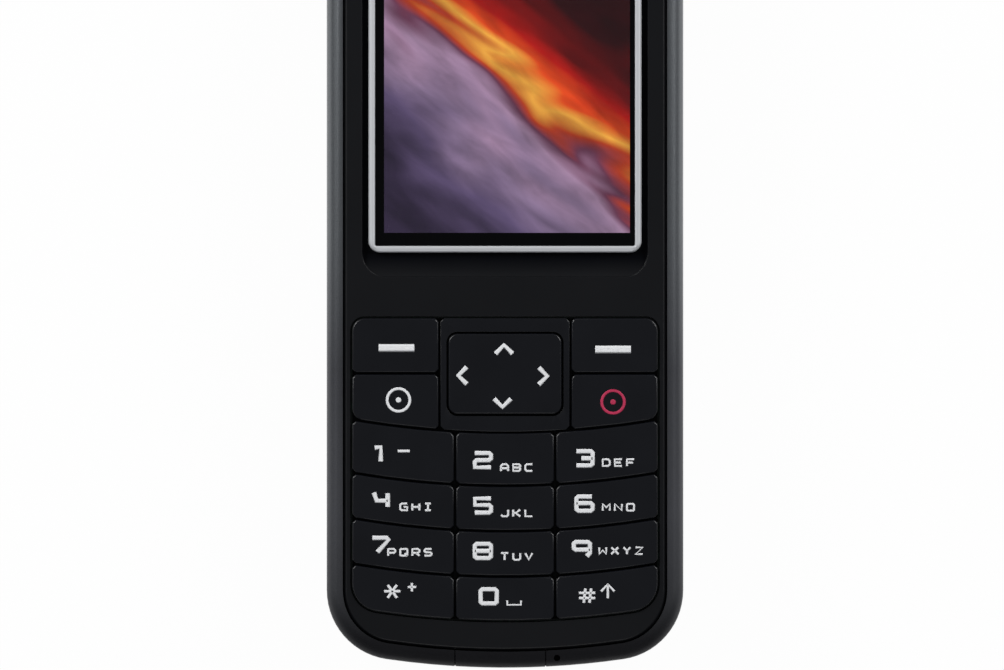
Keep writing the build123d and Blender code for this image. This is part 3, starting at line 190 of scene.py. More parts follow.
# Gold flash on contacts: thin plating, smooth and warm
gold_flash = finish("gold_flash", "#d8ae56", "#e3bd6a", 1, 0.25, 0.04, 0.05, 0.001, metallic=1.0)
# Inner black mouldings of glass-filled nylon: dull, with the unevenness of the fibres
black_nylon = finish("black_nylon", "#17181a", "#1e1f21", 4, 0.6, 0.05, 0.2, 0.01)
# Dark silicone of the key mat, with the soft bloom of rubber
dark_silicone = finish("dark_silicone", "#17181a", "#1e1f21", 7, 0.62, 0.04, 0.3, 0.006, sheen=0.1)
# Black foam gasket with open pores
black_foam = finish("black_foam", "#0c0c0d", "#1b1b1c", 0.3, 0.9, 0.05, 0.25, 0.05)
# White light guide and card, moulded and printed plastic: half matt and nearly even
white_card = finish("white_pvc", "#e2e2dd", "#dad9d3", 6, 0.42, 0.05, 0.3, 0.004)
print("finishes", len(bpy.data.materials))

# %% [markdown]
# In the screen's recess the front panel reflects less the deeper it lies below the front. This is
# painted shade: the bright rim stands in a black moat, and the ramp below it comes out of the dark.

# %% Painted shade in the front panel's recess
RECESS_DEEP_Z = 12.6 * MM
RECESS_EDGE_Z = 13.15 * MM
RECESS_PAINTED_SHADE_LEVEL = 0.05
FRONT_REFLECTION = 0.42
tree = satin_black.node_tree
place = add(tree, "ShaderNodeTexCoord").outputs["Object"]
height = add(tree, "ShaderNodeSeparateXYZ", {"Vector": place}).outputs["Z"]
# Painted shade: the panel's reflection falls off with the depth of the recess
recess_painted_shade = add(tree, "ShaderNodeMapRange", {
    "Value": height, "From Min": RECESS_DEEP_Z, "From Max": RECESS_EDGE_Z,
    "To Min": RECESS_PAINTED_SHADE_LEVEL, "To Max": FRONT_REFLECTION})
front_shader = tree.nodes["Principled BSDF"]
tree.links.new(recess_painted_shade.outputs["Result"], front_shader.inputs["Specular IOR Level"])
print("recess from", round(RECESS_DEEP_Z / MM, 2), "to", round(RECESS_EDGE_Z / MM, 2), "mm above the table")

# %% [markdown]
# The side band is silver-grey metallic paint whose colour carries painted light and shade: lighter at
# the upper end and darker towards the lower end. The paint is also rougher towards the lower end, so
# that its edge shines less there. Its flakes are cells, each a little lighter or darker than the next.
# Real flakes of some 0.03 mm are too fine to show, so they are drawn at 0.12 mm. A ramp of grey tones
# along the band gives the painted light and shade.

# %% Metallic paint of the band, with painted light and shade along it
# The tones are painted light and shade: lighter at the upper end, darker towards the lower end
BAND_LIGHT_AND_SHADE_TONES = [(-54 * MM, "#1f1f22"), (-51 * MM, "#252528"), (-46 * MM, "#3f4043"), (-34 * MM, "#4e4f53"),
              (-16 * MM, "#4c4d51"), (2 * MM, "#6b6e71")]
FLAKE_SIZE = 0.12 * MM
FLAKE_RELIEF = 0.006 * MM


def fill_ramp(ramp, stops):
    """Gives a colour ramp its hex colours, each at its position."""
    while len(ramp.elements) < len(stops):
        ramp.elements.new(0.5)
    for element, (position, colour) in zip(ramp.elements, stops):
        element.position = position
        element.color = linear(colour)


# Metallic paint whose colour carries painted light at the upper end and painted shade at the lower end
band_paint_with_painted_light, tree = empty_material("metallic_paint_with_painted_light")
place = add(tree, "ShaderNodeTexCoord").outputs["Object"]
along = add(tree, "ShaderNodeSeparateXYZ", {"Vector": place})
band_low = BAND_LIGHT_AND_SHADE_TONES[0][0]
band_high = BAND_LIGHT_AND_SHADE_TONES[-1][0]
band_position = add(tree, "ShaderNodeMapRange", {
    "Value": along.outputs["Y"], "From Min": band_low, "From Max": band_high})
band_stops = [((level - band_low) / (band_high - band_low), colour) for level, colour in BAND_LIGHT_AND_SHADE_TONES]
# Painted light and shade: the ramp makes the band lighter at its upper end and darker at its lower end
tones = add(tree, "ShaderNodeValToRGB", {"Fac": band_position.outputs["Result"]})
fill_ramp(tones.color_ramp, band_stops)
flakes = add(tree, "ShaderNodeTexVoronoi", {"Vector": place, "Scale": 1 / FLAKE_SIZE})
sparkle = add(tree, "ShaderNodeMapRange", {"Value": flakes.outputs["Color"], "To Min": 0.9, "To Max": 1.1})
speckled = add(tree, "ShaderNodeVectorMath", {0: tones.outputs["Color"], "Scale": sparkle.outputs["Result"]},
               operation="SCALE")
dryness = add(tree, "ShaderNodeMapRange", {"Value": band_position.outputs["Result"], "To Min": 0.6, "To Max": 0.36})
flake_bump = add(tree, "ShaderNodeBump", {"Height": flakes.outputs["Distance"], "Distance": FLAKE_RELIEF})
painted = add(tree, "ShaderNodeBsdfPrincipled", {
    "Base Color": speckled.outputs["Vector"], "Roughness": dryness.outputs["Result"], "Metallic": 0.85,
    "Normal": flake_bump.outputs["Normal"]})
add(tree, "ShaderNodeOutputMaterial", {"Surface": painted.outputs["BSDF"]})
print("band tones", len(BAND_LIGHT_AND_SHADE_TONES))

# %% [markdown]
# The display is lit. A real screen shows some picture at standby, so this one has an abstract
# design of flowing slanted bands, from near-black maroon over red and a narrow amber glow to
# mauve. A slanted coordinate bent by noise drives a colour ramp, and thinner waves make streaks
# that are a little darker or brighter. It is an emission at strength 1, so the lamps don't change
# its colours. A helper tells the lit part from the dark glass beside it.

# %% Lit part of the display
SCREEN_CENTRE = (0.26 * MM, 21.4 * MM)
LIT_WIDTH = 31.7 * MM
LIT_LENGTH = 39.6 * MM


def on_lit_part(tree, place):
    """1 over the lit part of the display and 0 beside it, by the place on the front."""
    apart = add(tree, "ShaderNodeSeparateXYZ", {"Vector": place})
    masks = []
    for axis, middle, size in (("X", SCREEN_CENTRE[0], LIT_WIDTH), ("Y", SCREEN_CENTRE[1], LIT_LENGTH)):
        off = add(tree, "ShaderNodeMath", {0: apart.outputs[axis], 1: middle}, operation="SUBTRACT")
        far = add(tree, "ShaderNodeMath", {0: off.outputs["Value"]}, operation="ABSOLUTE")
        near = add(tree, "ShaderNodeMath", {0: far.outputs["Value"], 1: size / 2}, operation="LESS_THAN")
        masks.append(near.outputs["Value"])
    both = add(tree, "ShaderNodeMath", {0: masks[0], 1: masks[1]}, operation="MULTIPLY")
    return both.outputs["Value"]


print("lit part", round(LIT_WIDTH / MM, 1), "by", round(LIT_LENGTH / MM, 1), "mm")

# %% Flowing bands
BAND_TILT = math.radians(38)
BAND_STRETCH = (0.8, 2.6, 1)
BAND_BEND = 0.5
BAND_SHIFT = 0.28
RAMP_STOPS = [(0.05, "#33283f"), (0.20, "#5d4d6e"), (0.32, "#8d7593"), (0.42, "#a987a3"), (0.47, "#6d3a52"),
              (0.51, "#c2401f"), (0.555, "#ffb347"), (0.60, "#ea4d1c"), (0.68, "#b3150e"), (0.80, "#660809"),
              (0.92, "#2c0407")]
picture, tree = empty_material("lit_display")
place = add(tree, "ShaderNodeTexCoord").outputs["Object"]
centred = add(tree, "ShaderNodeMapping", {
    "Vector": place, "Location": (-SCREEN_CENTRE[0] / LIT_LENGTH, -SCREEN_CENTRE[1] / LIT_LENGTH, 0),
    "Scale": (1 / LIT_LENGTH, 1 / LIT_LENGTH, 1 / LIT_LENGTH)})
turned = add(tree, "ShaderNodeMapping", {
    "Vector": centred.outputs["Vector"], "Rotation": (0, 0, BAND_TILT)})
stretched = add(tree, "ShaderNodeMapping", {"Vector": turned.outputs["Vector"], "Scale": BAND_STRETCH})
swirl = add(tree, "ShaderNodeTexNoise", {
    "Vector": stretched.outputs["Vector"], "Scale": 1.7, "Detail": 2.0, "Distortion": 0.6})
across = add(tree, "ShaderNodeSeparateXYZ", {"Vector": turned.outputs["Vector"]})
bent = add(tree, "ShaderNodeMath", {0: swirl.outputs["Fac"], 1: BAND_BEND, 2: across.outputs["Y"]},
           operation="MULTIPLY_ADD")
level = add(tree, "ShaderNodeMath", {0: bent.outputs["Value"], 1: BAND_SHIFT}, operation="ADD")
bands = add(tree, "ShaderNodeValToRGB", {"Fac": level.outputs["Value"]})
fill_ramp(bands.color_ramp, RAMP_STOPS)
print("picture", len(RAMP_STOPS), "colours")

# %% Streaks, and the dark glass beside the lit part
def paint(node, material):
    """Gives a CAD node its material."""
    slots = frame["nodes"][node].data.materials
    slots.clear()
    slots.append(material)


streaks = add(tree, "ShaderNodeTexNoise", {
    "Vector": stretched.outputs["Vector"], "Scale": 6.0, "Detail": 4.0, "Distortion": 0.3})
shade = add(tree, "ShaderNodeMapRange", {
    "Value": streaks.outputs["Fac"], "From Min": 0.3, "From Max": 0.7, "To Min": 0.6, "To Max": 1.2})
streaked = add(tree, "ShaderNodeVectorMath", {0: bands.outputs["Color"], "Scale": shade.outputs["Result"]},
               operation="SCALE")
glow = add(tree, "ShaderNodeEmission", {"Color": streaked.outputs["Vector"], "Strength": 1.0})
dark_glass = add(tree, "ShaderNodeBsdfPrincipled", {"Base Color": linear("#050506"), "Roughness": 0.15})
screen_mix = add(tree, "ShaderNodeMixShader", {
    "Fac": on_lit_part(tree, place), 1: dark_glass.outputs["BSDF"], 2: glow.outputs["Emission"]})
add(tree, "ShaderNodeOutputMaterial", {"Surface": screen_mix.outputs["Shader"]})
paint("lcd_glass", picture)
print("picture nodes", len(tree.nodes))

# %% [markdown]
# The window over the display is clear acrylic with black ink printed behind it as a border. Both
# are one material: the ink and the clear part are told apart by their place on the front. The
# window has the usual coating against glare, so it shines half as much as bare plastic.

# %% Window with its printed border
window, tree = empty_material("acrylic_window_black_border")
place = add(tree, "ShaderNodeTexCoord").outputs["Object"]
clear = add(tree, "ShaderNodeBsdfPrincipled", {
    "Base Color": linear("#f4f7fa"), "Roughness": 0.03, "Transmission Weight": 1.0, "IOR": 1.49,
    "Specular IOR Level": 0.25})
ink = add(tree, "ShaderNodeBsdfPrincipled", {
    "Base Color": linear("#030304"), "Roughness": 0.12, "Specular IOR Level": 0.2})
window_mix = add(tree, "ShaderNodeMixShader", {
    "Fac": on_lit_part(tree, place), 1: ink.outputs["BSDF"], 2: clear.outputs["BSDF"]})
add(tree, "ShaderNodeOutputMaterial", {"Surface": window_mix.outputs["Shader"]})
paint("display_window", window)
print("window nodes", len(tree.nodes))

# %% [markdown]
# The inner parts show only in an opened phone, but each has its own finish: green solder mask
# with copper tracks under it, amber ribbon film with parallel tracks, and a printed film wrap on
# the battery with a plain stripe.

# %% Board, ribbon and battery finishes
# Blender's wave texture repeats every 0.314 units, a twentieth of a full turn
WAVE_PERIOD = 0.314
LINE_EDGE = 0.02
TRACK_HEIGHT = 0.02 * MM


def striped(name, low_colour, high_colour, stripe_mm, axis, roughness, line_share, distortion=0.0):
    """Straight or wandering stripes along one axis, as tracks under a film."""
    material, tree = empty_material(name)
    place = add(tree, "ShaderNodeTexCoord").outputs["Object"]
    wave = add(tree, "ShaderNodeTexWave", {
        "Vector": place, "Scale": WAVE_PERIOD / (stripe_mm * MM), "Distortion": distortion, "Detail": 1.0},
        wave_type="BANDS", bands_direction=axis, wave_profile="TRI")
    line = add(tree, "ShaderNodeMapRange", {
        "Value": wave.outputs["Fac"], "From Min": 1 - line_share, "From Max": 1 + LINE_EDGE - line_share})
    mixed = add(tree, "ShaderNodeMix", {"Factor": line.outputs["Result"], "A": linear(low_colour),
                                        "B": linear(high_colour)}, data_type="RGBA")
    bump = add(tree, "ShaderNodeBump", {"Height": line.outputs["Result"], "Distance": TRACK_HEIGHT})
    shader = add(tree, "ShaderNodeBsdfPrincipled", {
        "Base Color": mixed.outputs["Result"], "Roughness": roughness, "Normal": bump.outputs["Normal"],
        "Coat Weight": 0.3})
    add(tree, "ShaderNodeOutputMaterial", {"Surface": shader.outputs["BSDF"]})
    return material


green_board = striped("green_solder_mask", "#0c3b22", "#17593a", 0.9, "X", 0.35, 0.35, distortion=6.0)
amber_film = striped("amber_ribbon", "#8a4a12", "#b46a22", 0.5, "X", 0.32, 0.5)
battery_wrap = striped("battery_film", "#26282c", "#3a3d42", 9.0, "Y", 0.33, 0.2)
dome_film = finish("clear_dome_film", "#c6c4bb", "#d4d2ca", 5, 0.3, 0.05, 0.3, 0.003)
print("finishes so far", len(bpy.data.materials))

# %% Which inner node has which finish
FINISH_OF = {
    "display_gasket": black_foam, "lcd_backlight": white_card, "lcd_frame": tin_plate, "lcd_flex": amber_film,
    "earpiece_grille": black_steel, "earpiece_speaker": black_nylon, "nav_rocker_base": black_nylon,
    "key_mat": dark_silicone, "dome_sheet": dome_film, "main_board": green_board, "battery": battery_wrap,
    "battery_pads": gold_flash, "battery_contacts": black_nylon, "sim_holder": tin_plate,
    "sim_card": white_card, "shield_cans": tin_plate, "port_connector": tin_plate, "microphone": tin_plate,
    "camera_module": black_nylon, "loudspeaker": black_nylon, "vibration_motor": tin_plate,
    "vibration_weight": black_steel, "antenna_carrier": black_nylon, "antenna_foil": gold_flash}
for node, material in FINISH_OF.items():
    paint(node, material)
print("painted", len(FINISH_OF), "inner nodes")

# %% [markdown]
# The CAD solids have crisp or plainly sloped edges. A moulded part has small rounds that catch the
# light, so each outer part gets a finished copy: its loose triangles are merged, flat areas are
# made one face again, a bevel softens the edges, and smooth shading joins what runs on smoothly.
# Weighted normals then keep the big faces flat next to the small rounds. The copy stands for the
# CAD node.

# %% Softened copies of the outer parts
MERGE_DISTANCE = 0.002 * MM
FLAT_ANGLE = math.radians(1.0)
SMOOTH_ANGLE = math.radians(32)
BEVEL_ANGLE = math.radians(34)


def only(piece):
    """Selects one object and makes it active."""
    bpy.ops.object.select_all(action="DESELECT")
    piece.select_set(True)
    bpy.context.view_layer.objects.active = piece


def body_with(node):
    """Name of the body that a CAD node moves with."""
    return frame["nodes"][node]["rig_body"]


def finished_copy(node, material, edge_mm, segments=2, flatten=True):
    """Merged copy of a CAD node with softened edges, which replaces it."""
    piece = bpy.data.objects.new(node + "_finished", frame["nodes"][node].data.copy())
    bpy.context.scene.collection.objects.link(piece)
    only(piece)
    bpy.ops.object.mode_set(mode="EDIT")
    bpy.ops.mesh.select_all(action="SELECT")
    bpy.ops.mesh.remove_doubles(threshold=MERGE_DISTANCE)
    if flatten:
        bpy.ops.mesh.dissolve_limited(angle_limit=FLAT_ANGLE)
    bpy.ops.object.mode_set(mode="OBJECT")
    bevel = piece.modifiers.new("soft_edges", "BEVEL")
    bevel.width = edge_mm * MM
    bevel.segments = segments
    bevel.limit_method = "ANGLE"
    bevel.angle_limit = BEVEL_ANGLE
    bevel.use_clamp_overlap = False
    bpy.ops.object.modifier_apply(modifier=bevel.name)
    bpy.ops.object.shade_smooth_by_angle(angle=SMOOTH_ANGLE)
    weighted = piece.modifiers.new("flat_faces", "WEIGHTED_NORMAL")
    weighted.keep_sharp = True
    bpy.ops.object.modifier_apply(modifier=weighted.name)
    piece.data.materials.clear()
    piece.data.materials.append(material)
    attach(piece, body_with(node))
    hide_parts(node)
    return piece


front_panel = finished_copy("front_cover", satin_black, 0.1)
print("front panel faces", len(front_panel.data.polygons))

# %% Softened rim, bezel and keys
finished_copy("display_ring", bright_rim, 0.2, segments=3, flatten=False)
finished_copy("nav_bezel", key_black, 0.05, flatten=False)
finished_copy("nav_key", key_black, 0.06)
NUMBER_KEYS = ["key_1", "key_2", "key_3", "key_4", "key_5", "key_6", "key_7", "key_8", "key_9",
               "key_star", "key_0", "key_hash"]
FUNCTION_KEYS = ["soft_key_left", "soft_key_right", "send_key", "end_key"]
for node in NUMBER_KEYS + FUNCTION_KEYS:
    finished_copy(node, key_black, 0.05)

# %% [markdown]
# The body's edges are rolled: a quarter round of 2.1 mm at the front and of 4 mm at the back. In the
# solids each is four slopes, whose corners lie on the true round. So the shading of the outer faces
# takes the true round's direction at each corner, which the outline and the height give, and the
# light runs round the body without a step.

# %% Directions of the true round
HALF_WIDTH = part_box("side_frame")[1].x
HALF_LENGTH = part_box("side_frame")[1].y
CORNER_RADIUS = 9.0 * MM
END_RADIUS = 107.0 * MM
FRONT_ROUND = 2.1 * MM
BACK_ROUND = 4.0 * MM


def outline_direction(x, y):
    """Outward direction of the body's outline beside a place on its edge."""
    corner_x = HALF_WIDTH - CORNER_RADIUS
    end_y = HALF_LENGTH - END_RADIUS
    corner_y = end_y + math.sqrt((END_RADIUS - CORNER_RADIUS) ** 2 - corner_x ** 2)
    far_x, far_y = abs(x), abs(y)
    if far_y <= corner_y:
        away = Vector((1, 0))
    elif math.atan2(far_x, far_y - end_y) < math.asin(corner_x / (END_RADIUS - CORNER_RADIUS)):
        away = Vector((far_x, far_y - end_y))
    else:
        away = Vector((far_x - corner_x, far_y - corner_y))
    away.normalize()
    return math.copysign(away.x, x), math.copysign(away.y, y)


def rolled_direction(place):
    """Outward direction of the true rolled body beside a place on it."""
    up = 0.0
    if place.z > FRONT_Z - FRONT_ROUND:
        up = min(1.0, (place.z - FRONT_Z + FRONT_ROUND) / FRONT_ROUND)
    if place.z < BACK_ROUND:
        up = -min(1.0, (BACK_ROUND - place.z) / BACK_ROUND)
    flat = math.sqrt(1 - up * up)
    x, y = outline_direction(place.x, place.y)
    return Vector((x * flat, y * flat, up))


print("at the front's edge", [round(v, 2) for v in rolled_direction(Vector((HALF_WIDTH, 0, FRONT_Z)))])

# %% Rolled outer faces
# A face whose direction is within 20 degrees of the true round's belongs to the outside
SAME_FACE = math.cos(math.radians(20))


def roll_shading(piece):
    """Shades the outer faces of a body part as the true round."""
    mesh = piece.data
    normals = [normal.vector.copy() for normal in mesh.corner_normals]
    turned = 0
    for face in mesh.polygons:
        if face.normal.dot(rolled_direction(face.center)) < SAME_FACE:
            continue
        turned += 1
        for corner in face.loop_indices:
            normals[corner] = rolled_direction(mesh.vertices[mesh.loops[corner].vertex_index].co)
    mesh.normals_split_custom_set(normals)
    return turned


for node, material in (("side_frame", band_paint_with_painted_light), ("port_cover", band_paint_with_painted_light), ("rear_housing", grit_black),
                       ("battery_cover", grit_black)):
    shaded = roll_shading(finished_copy(node, material, 0.06))
    print(node, shaded, "outer faces")

# %% [markdown]
# The legends are screen-printed ink of 0.02 mm, half of it above the key's top. Digits and signs
# are drawn as pen strokes on a grid one wide and one high: a curve with a round bevel gives each
# stroke its width, and once it is a mesh it is pressed flat onto its key. A picture on the keys
# would blur from nearby, and a font would bring its own design.

# %% Ink
white_ink = finish("white_screen_ink", "#f6f7f8", "#f0f1f3", 1.5, 0.5, 0.05, 0.08, 0.002)
red_ink = finish("red_screen_ink", "#c8315a", "#bd2b52", 1.5, 0.5, 0.05, 0.08, 0.002)
KEY_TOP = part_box("key_5")[1].z
INK_THICKNESS = 0.02 * MM
print("ink on key tops at", round(KEY_TOP / MM, 2), "mm")

# %% Pen strokes
def press_flat(drawn):
    """Presses a drawn mesh to the ink's thickness and lays it on the key tops."""
    heights = [vertex.co.z for vertex in drawn.data.vertices]
    thickness = max(heights) - min(heights)
    only(drawn)
    bpy.ops.object.mode_set(mode="EDIT")
    bpy.ops.mesh.select_all(action="SELECT")
    bpy.ops.transform.resize(value=(1, 1, INK_THICKNESS / thickness), center_override=(0, 0, 0))
    bpy.ops.transform.translate(value=(0, 0, KEY_TOP))
    bpy.ops.object.mode_set(mode="OBJECT")
    return drawn


def stroke_mesh(strokes, pen, corner, size):
    """Flat ink object of pen strokes, drawn on a unit grid and fitted to a corner and a size."""
    curve = bpy.data.curves.new("strokes", "CURVE")
    curve.dimensions = "3D"
    curve.bevel_depth = pen / 2
    curve.bevel_resolution = 1
    curve.use_fill_caps = True
    for points in strokes:
        spline = curve.splines.new("POLY")
        spline.use_cyclic_u = points[0] == points[-1]
        kept = points[:-1] if spline.use_cyclic_u else points
        spline.points.add(len(kept) - 1)
        for point, (x, y) in zip(spline.points, kept):
            point_x = corner[0] + pen / 2 + x * (size[0] - pen)
            point_y = corner[1] + pen / 2 + y * (size[1] - pen)
            point.co = (point_x, point_y, 0, 1)
    drawn = bpy.data.objects.new("strokes", curve)
    bpy.context.scene.collection.objects.link(drawn)
    only(drawn)
    bpy.ops.object.convert(target="MESH")
    return press_flat(bpy.context.object)


print("strokes are pressed to", round(INK_THICKNESS / MM, 3), "mm")

# %% Printed legends
def joined(parts, name):
    """Joins objects to one and names it."""
    only(parts[0])
    for part in parts[1:]:
        part.select_set(True)
    if len(parts) > 1:
        bpy.ops.object.join()
    whole = bpy.context.object
    whole.name = name
    return whole


def as_legend(parts, node, ink):
    """Joins drawn parts to one printed legend that rides on its key."""
    legend = joined(parts, "legend_" + node)
    legend.data.materials.clear()
    legend.data.materials.append(ink)
    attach(legend, body_with(node))


print("the legend of key_5 will ride on", body_with("key_5"))

# %% [markdown]
# The digits are wide and squarish with cut corners, and each is a few strokes. Their places follow
# the photograph: three columns, four rows, with the outer columns a little higher because the rows
# are bowed.

# %% Digits
CUT = 0.12
BOX = [(CUT, 0), (1 - CUT, 0), (1, CUT), (1, 1 - CUT), (1 - CUT, 1), (CUT, 1), (0, 1 - CUT), (0, CUT),
       (CUT, 0)]
DIGIT_STROKES = {
    "0": [BOX],
    "1": [[(0.05, 0.95), (0.42, 1), (0.42, 0)]],
    "2": [[(0, 1), (1 - CUT, 1), (1, 1 - CUT), (1, 0.62), (1 - CUT, 0.5), (CUT, 0.5), (0, 0.38), (0, 0),
           (1, 0)]],
    "3": [[(0, 1), (1 - CUT, 1), (1, 1 - CUT), (1, CUT), (1 - CUT, 0), (0, 0)], [(0.3, 0.5), (1, 0.5)]],
    "4": [[(0, 1), (0.16, 0.42), (0.85, 0.42)], [(0.85, 0.95), (0.85, 0)]],
    "5": [[(1, 1), (0, 1), (0, 0.54), (1 - CUT, 0.54), (1, 0.42), (1, CUT), (1 - CUT, 0), (0, 0)]],
    "6": [[(0.95, 1), (CUT, 1), (0, 1 - CUT), (0, CUT), (CUT, 0), (1 - CUT, 0), (1, CUT), (1, 0.42),
           (1 - CUT, 0.54), (0, 0.54)]],
    "7": [[(0, 1), (1 - CUT, 1), (1, 1 - CUT), (0.32, 0)]],
    "8": [BOX, [(0, 0.5), (1, 0.5)]],
    "9": [[(1, 0.46), (CUT, 0.46), (0, 0.58), (0, 1 - CUT), (CUT, 1), (1 - CUT, 1), (1, 1 - CUT), (1, 0.25),
           (0.82, 0)]],
    "star": [[(0.0, 0.5), (1.0, 0.5)], [(0.22, 0.05), (0.78, 0.95)], [(0.78, 0.05), (0.22, 0.95)]],
    "hash": [[(0.3, 0), (0.4, 1)], [(0.65, 0), (0.75, 1)], [(0, 0.32), (1, 0.32)], [(0, 0.68), (1, 0.68)]]}
print("digits and signs", len(DIGIT_STROKES))

# %% Places of the digits
DIGIT_SIZE = (2.7 * MM, 2.45 * MM)
DIGIT_PEN = 0.62 * MM
COLUMN_STARTS = [-17.2 * MM, -4.2 * MM, 8.9 * MM]
COLUMN_LIFTS = [0.78 * MM, 0, 0.24 * MM]
FIRST_TOP = -26.5 * MM
ROW_STEP = 5.85 * MM
GLYPH_SHIFTS = {"7": -0.2 * MM, "9": -0.35 * MM, "0": 0.75 * MM, "star": 1.45 * MM, "hash": 0.45 * MM}
SIGN_SIZE = (2.45 * MM, 2.2 * MM)
SIGN_PEN = 0.36 * MM


def legend_corner(index, glyph):
    """Lower left corner of the digit or sign on one of the twelve number keys."""
    row, column = divmod(index, len(COLUMN_STARTS))
    left = COLUMN_STARTS[column] + GLYPH_SHIFTS.get(glyph, 0)
    top = FIRST_TOP - row * ROW_STEP + COLUMN_LIFTS[column]
    return left, top - DIGIT_SIZE[1]


print("digit 5 starts at", [round(v / MM, 2) for v in legend_corner(4, "5")], "mm")

# %% [markdown]
# The small letters beside the digits are the usual groups of every telephone keypad. They are
# drawn with the same pen strokes as the digits, smaller, so that the whole keypad has one hand.
# Four keys have a small sign in their place: a dash, a space bracket, a plus and an arrow.

# %% Letter shapes
BOWL = [(0, 0), (0, 1), (0.8, 1), (1, 0.82), (1, 0.6), (0.8, 0.42), (0, 0.42)]
LETTER_STROKES = {
    "A": [[(0, 0), (0, 0.75), (0.25, 1), (0.75, 1), (1, 0.75), (1, 0)], [(0, 0.4), (1, 0.4)]],
    "B": [[(0, 0), (0, 1), (0.8, 1), (1, 0.82), (1, 0.66), (0.85, 0.5), (1, 0.34), (1, 0.18), (0.8, 0),
           (0, 0)], [(0, 0.5), (0.85, 0.5)]],
    "C": [[(1, 1), (0.2, 1), (0, 0.8), (0, 0.2), (0.2, 0), (1, 0)]],
    "D": [[(0, 0), (0, 1), (0.75, 1), (1, 0.75), (1, 0.25), (0.75, 0), (0, 0)]],
    "E": [[(1, 1), (0, 1), (0, 0), (1, 0)], [(0, 0.5), (0.85, 0.5)]],
    "F": [[(1, 1), (0, 1), (0, 0)], [(0, 0.5), (0.85, 0.5)]],
    "G": [[(1, 1), (0.2, 1), (0, 0.8), (0, 0.2), (0.2, 0), (1, 0), (1, 0.5), (0.5, 0.5)]],
    "H": [[(0, 0), (0, 1)], [(1, 0), (1, 1)], [(0, 0.5), (1, 0.5)]],
    "I": [[(0.5, 0), (0.5, 1)], [(0.1, 0), (0.9, 0)], [(0.1, 1), (0.9, 1)]],
    "J": [[(1, 1), (1, 0.2), (0.8, 0), (0.2, 0), (0, 0.25)]],
    "K": [[(0, 0), (0, 1)], [(1, 1), (0.35, 0.5), (1, 0)], [(0, 0.5), (0.35, 0.5)]],
    "L": [[(0, 1), (0, 0), (1, 0)]],
    "M": [[(0, 0), (0, 1), (0.5, 0.45), (1, 1), (1, 0)]],
    "N": [[(0, 0), (0, 1), (1, 0), (1, 1)]],
    "O": [BOX],
    "P": [BOWL],
    "Q": [BOX, [(0.6, 0.35), (1, 0)]],
    "R": [BOWL, [(0.5, 0.42), (1, 0)]],
    "S": [[(1, 1), (0.2, 1), (0, 0.85), (0, 0.65), (0.2, 0.5), (0.8, 0.5), (1, 0.35), (1, 0.15), (0.8, 0),
           (0, 0)]],
    "T": [[(0, 1), (1, 1)], [(0.5, 1), (0.5, 0)]],
    "U": [[(0, 1), (0, 0.2), (0.2, 0), (0.8, 0), (1, 0.2), (1, 1)]],
    "V": [[(0, 1), (0.5, 0), (1, 1)]],
    "W": [[(0, 1), (0, 0), (0.5, 0.55), (1, 0), (1, 1)]],
    "X": [[(0, 0), (1, 1)], [(0, 1), (1, 0)]],
    "Y": [[(0, 1), (0.5, 0.5), (1, 1)], [(0.5, 0.5), (0.5, 0)]],
    "Z": [[(0, 1), (1, 1), (0, 0), (1, 0)]]}
print("letters", len(LETTER_STROKES))

# %% Letter groups
LETTERS = {"key_2": "ABC", "key_3": "DEF", "key_4": "GHI", "key_5": "JKL", "key_6": "MNO", "key_7": "PQRS",
           "key_8": "TUV", "key_9": "WXYZ"}
LETTER_SIZE = (1.2 * MM, 1.15 * MM)
LETTER_PEN = 0.29 * MM
LETTER_PITCH = 1.56 * MM
LETTER_START = 3.55 * MM
FOUR_LETTER_START = {"key_7": 2.2 * MM, "key_9": 3.45 * MM}
LETTER_DROP = 0.3 * MM
LETTER_LIFTS = {"key_3": 0.4 * MM, "key_6": 0.5 * MM, "key_8": 0.25 * MM, "key_9": 0.75 * MM}


def letter_row(letters, corner):
    """Ink letters side by side from a corner."""
    drawn = []
    for place, letter in enumerate(letters):
        letter_corner = (corner[0] + place * LETTER_PITCH, corner[1])
        drawn.append(stroke_mesh(LETTER_STROKES[letter], LETTER_PEN, letter_corner, LETTER_SIZE))
    return drawn


print("letter groups", len(LETTERS))

# %% Small signs, and all legends of the number keys
DASH = [[(0, 0.5), (1, 0.5)]]
SPACE_BRACKET = [[(0, 1), (0, 0), (1, 0), (1, 1)]]
PLUS = [[(0, 0.5), (1, 0.5)], [(0.5, 0), (0.5, 1)]]
ARROW = [[(0, 0.5), (0.5, 1), (1, 0.5)], [(0.5, 0), (0.5, 1)]]
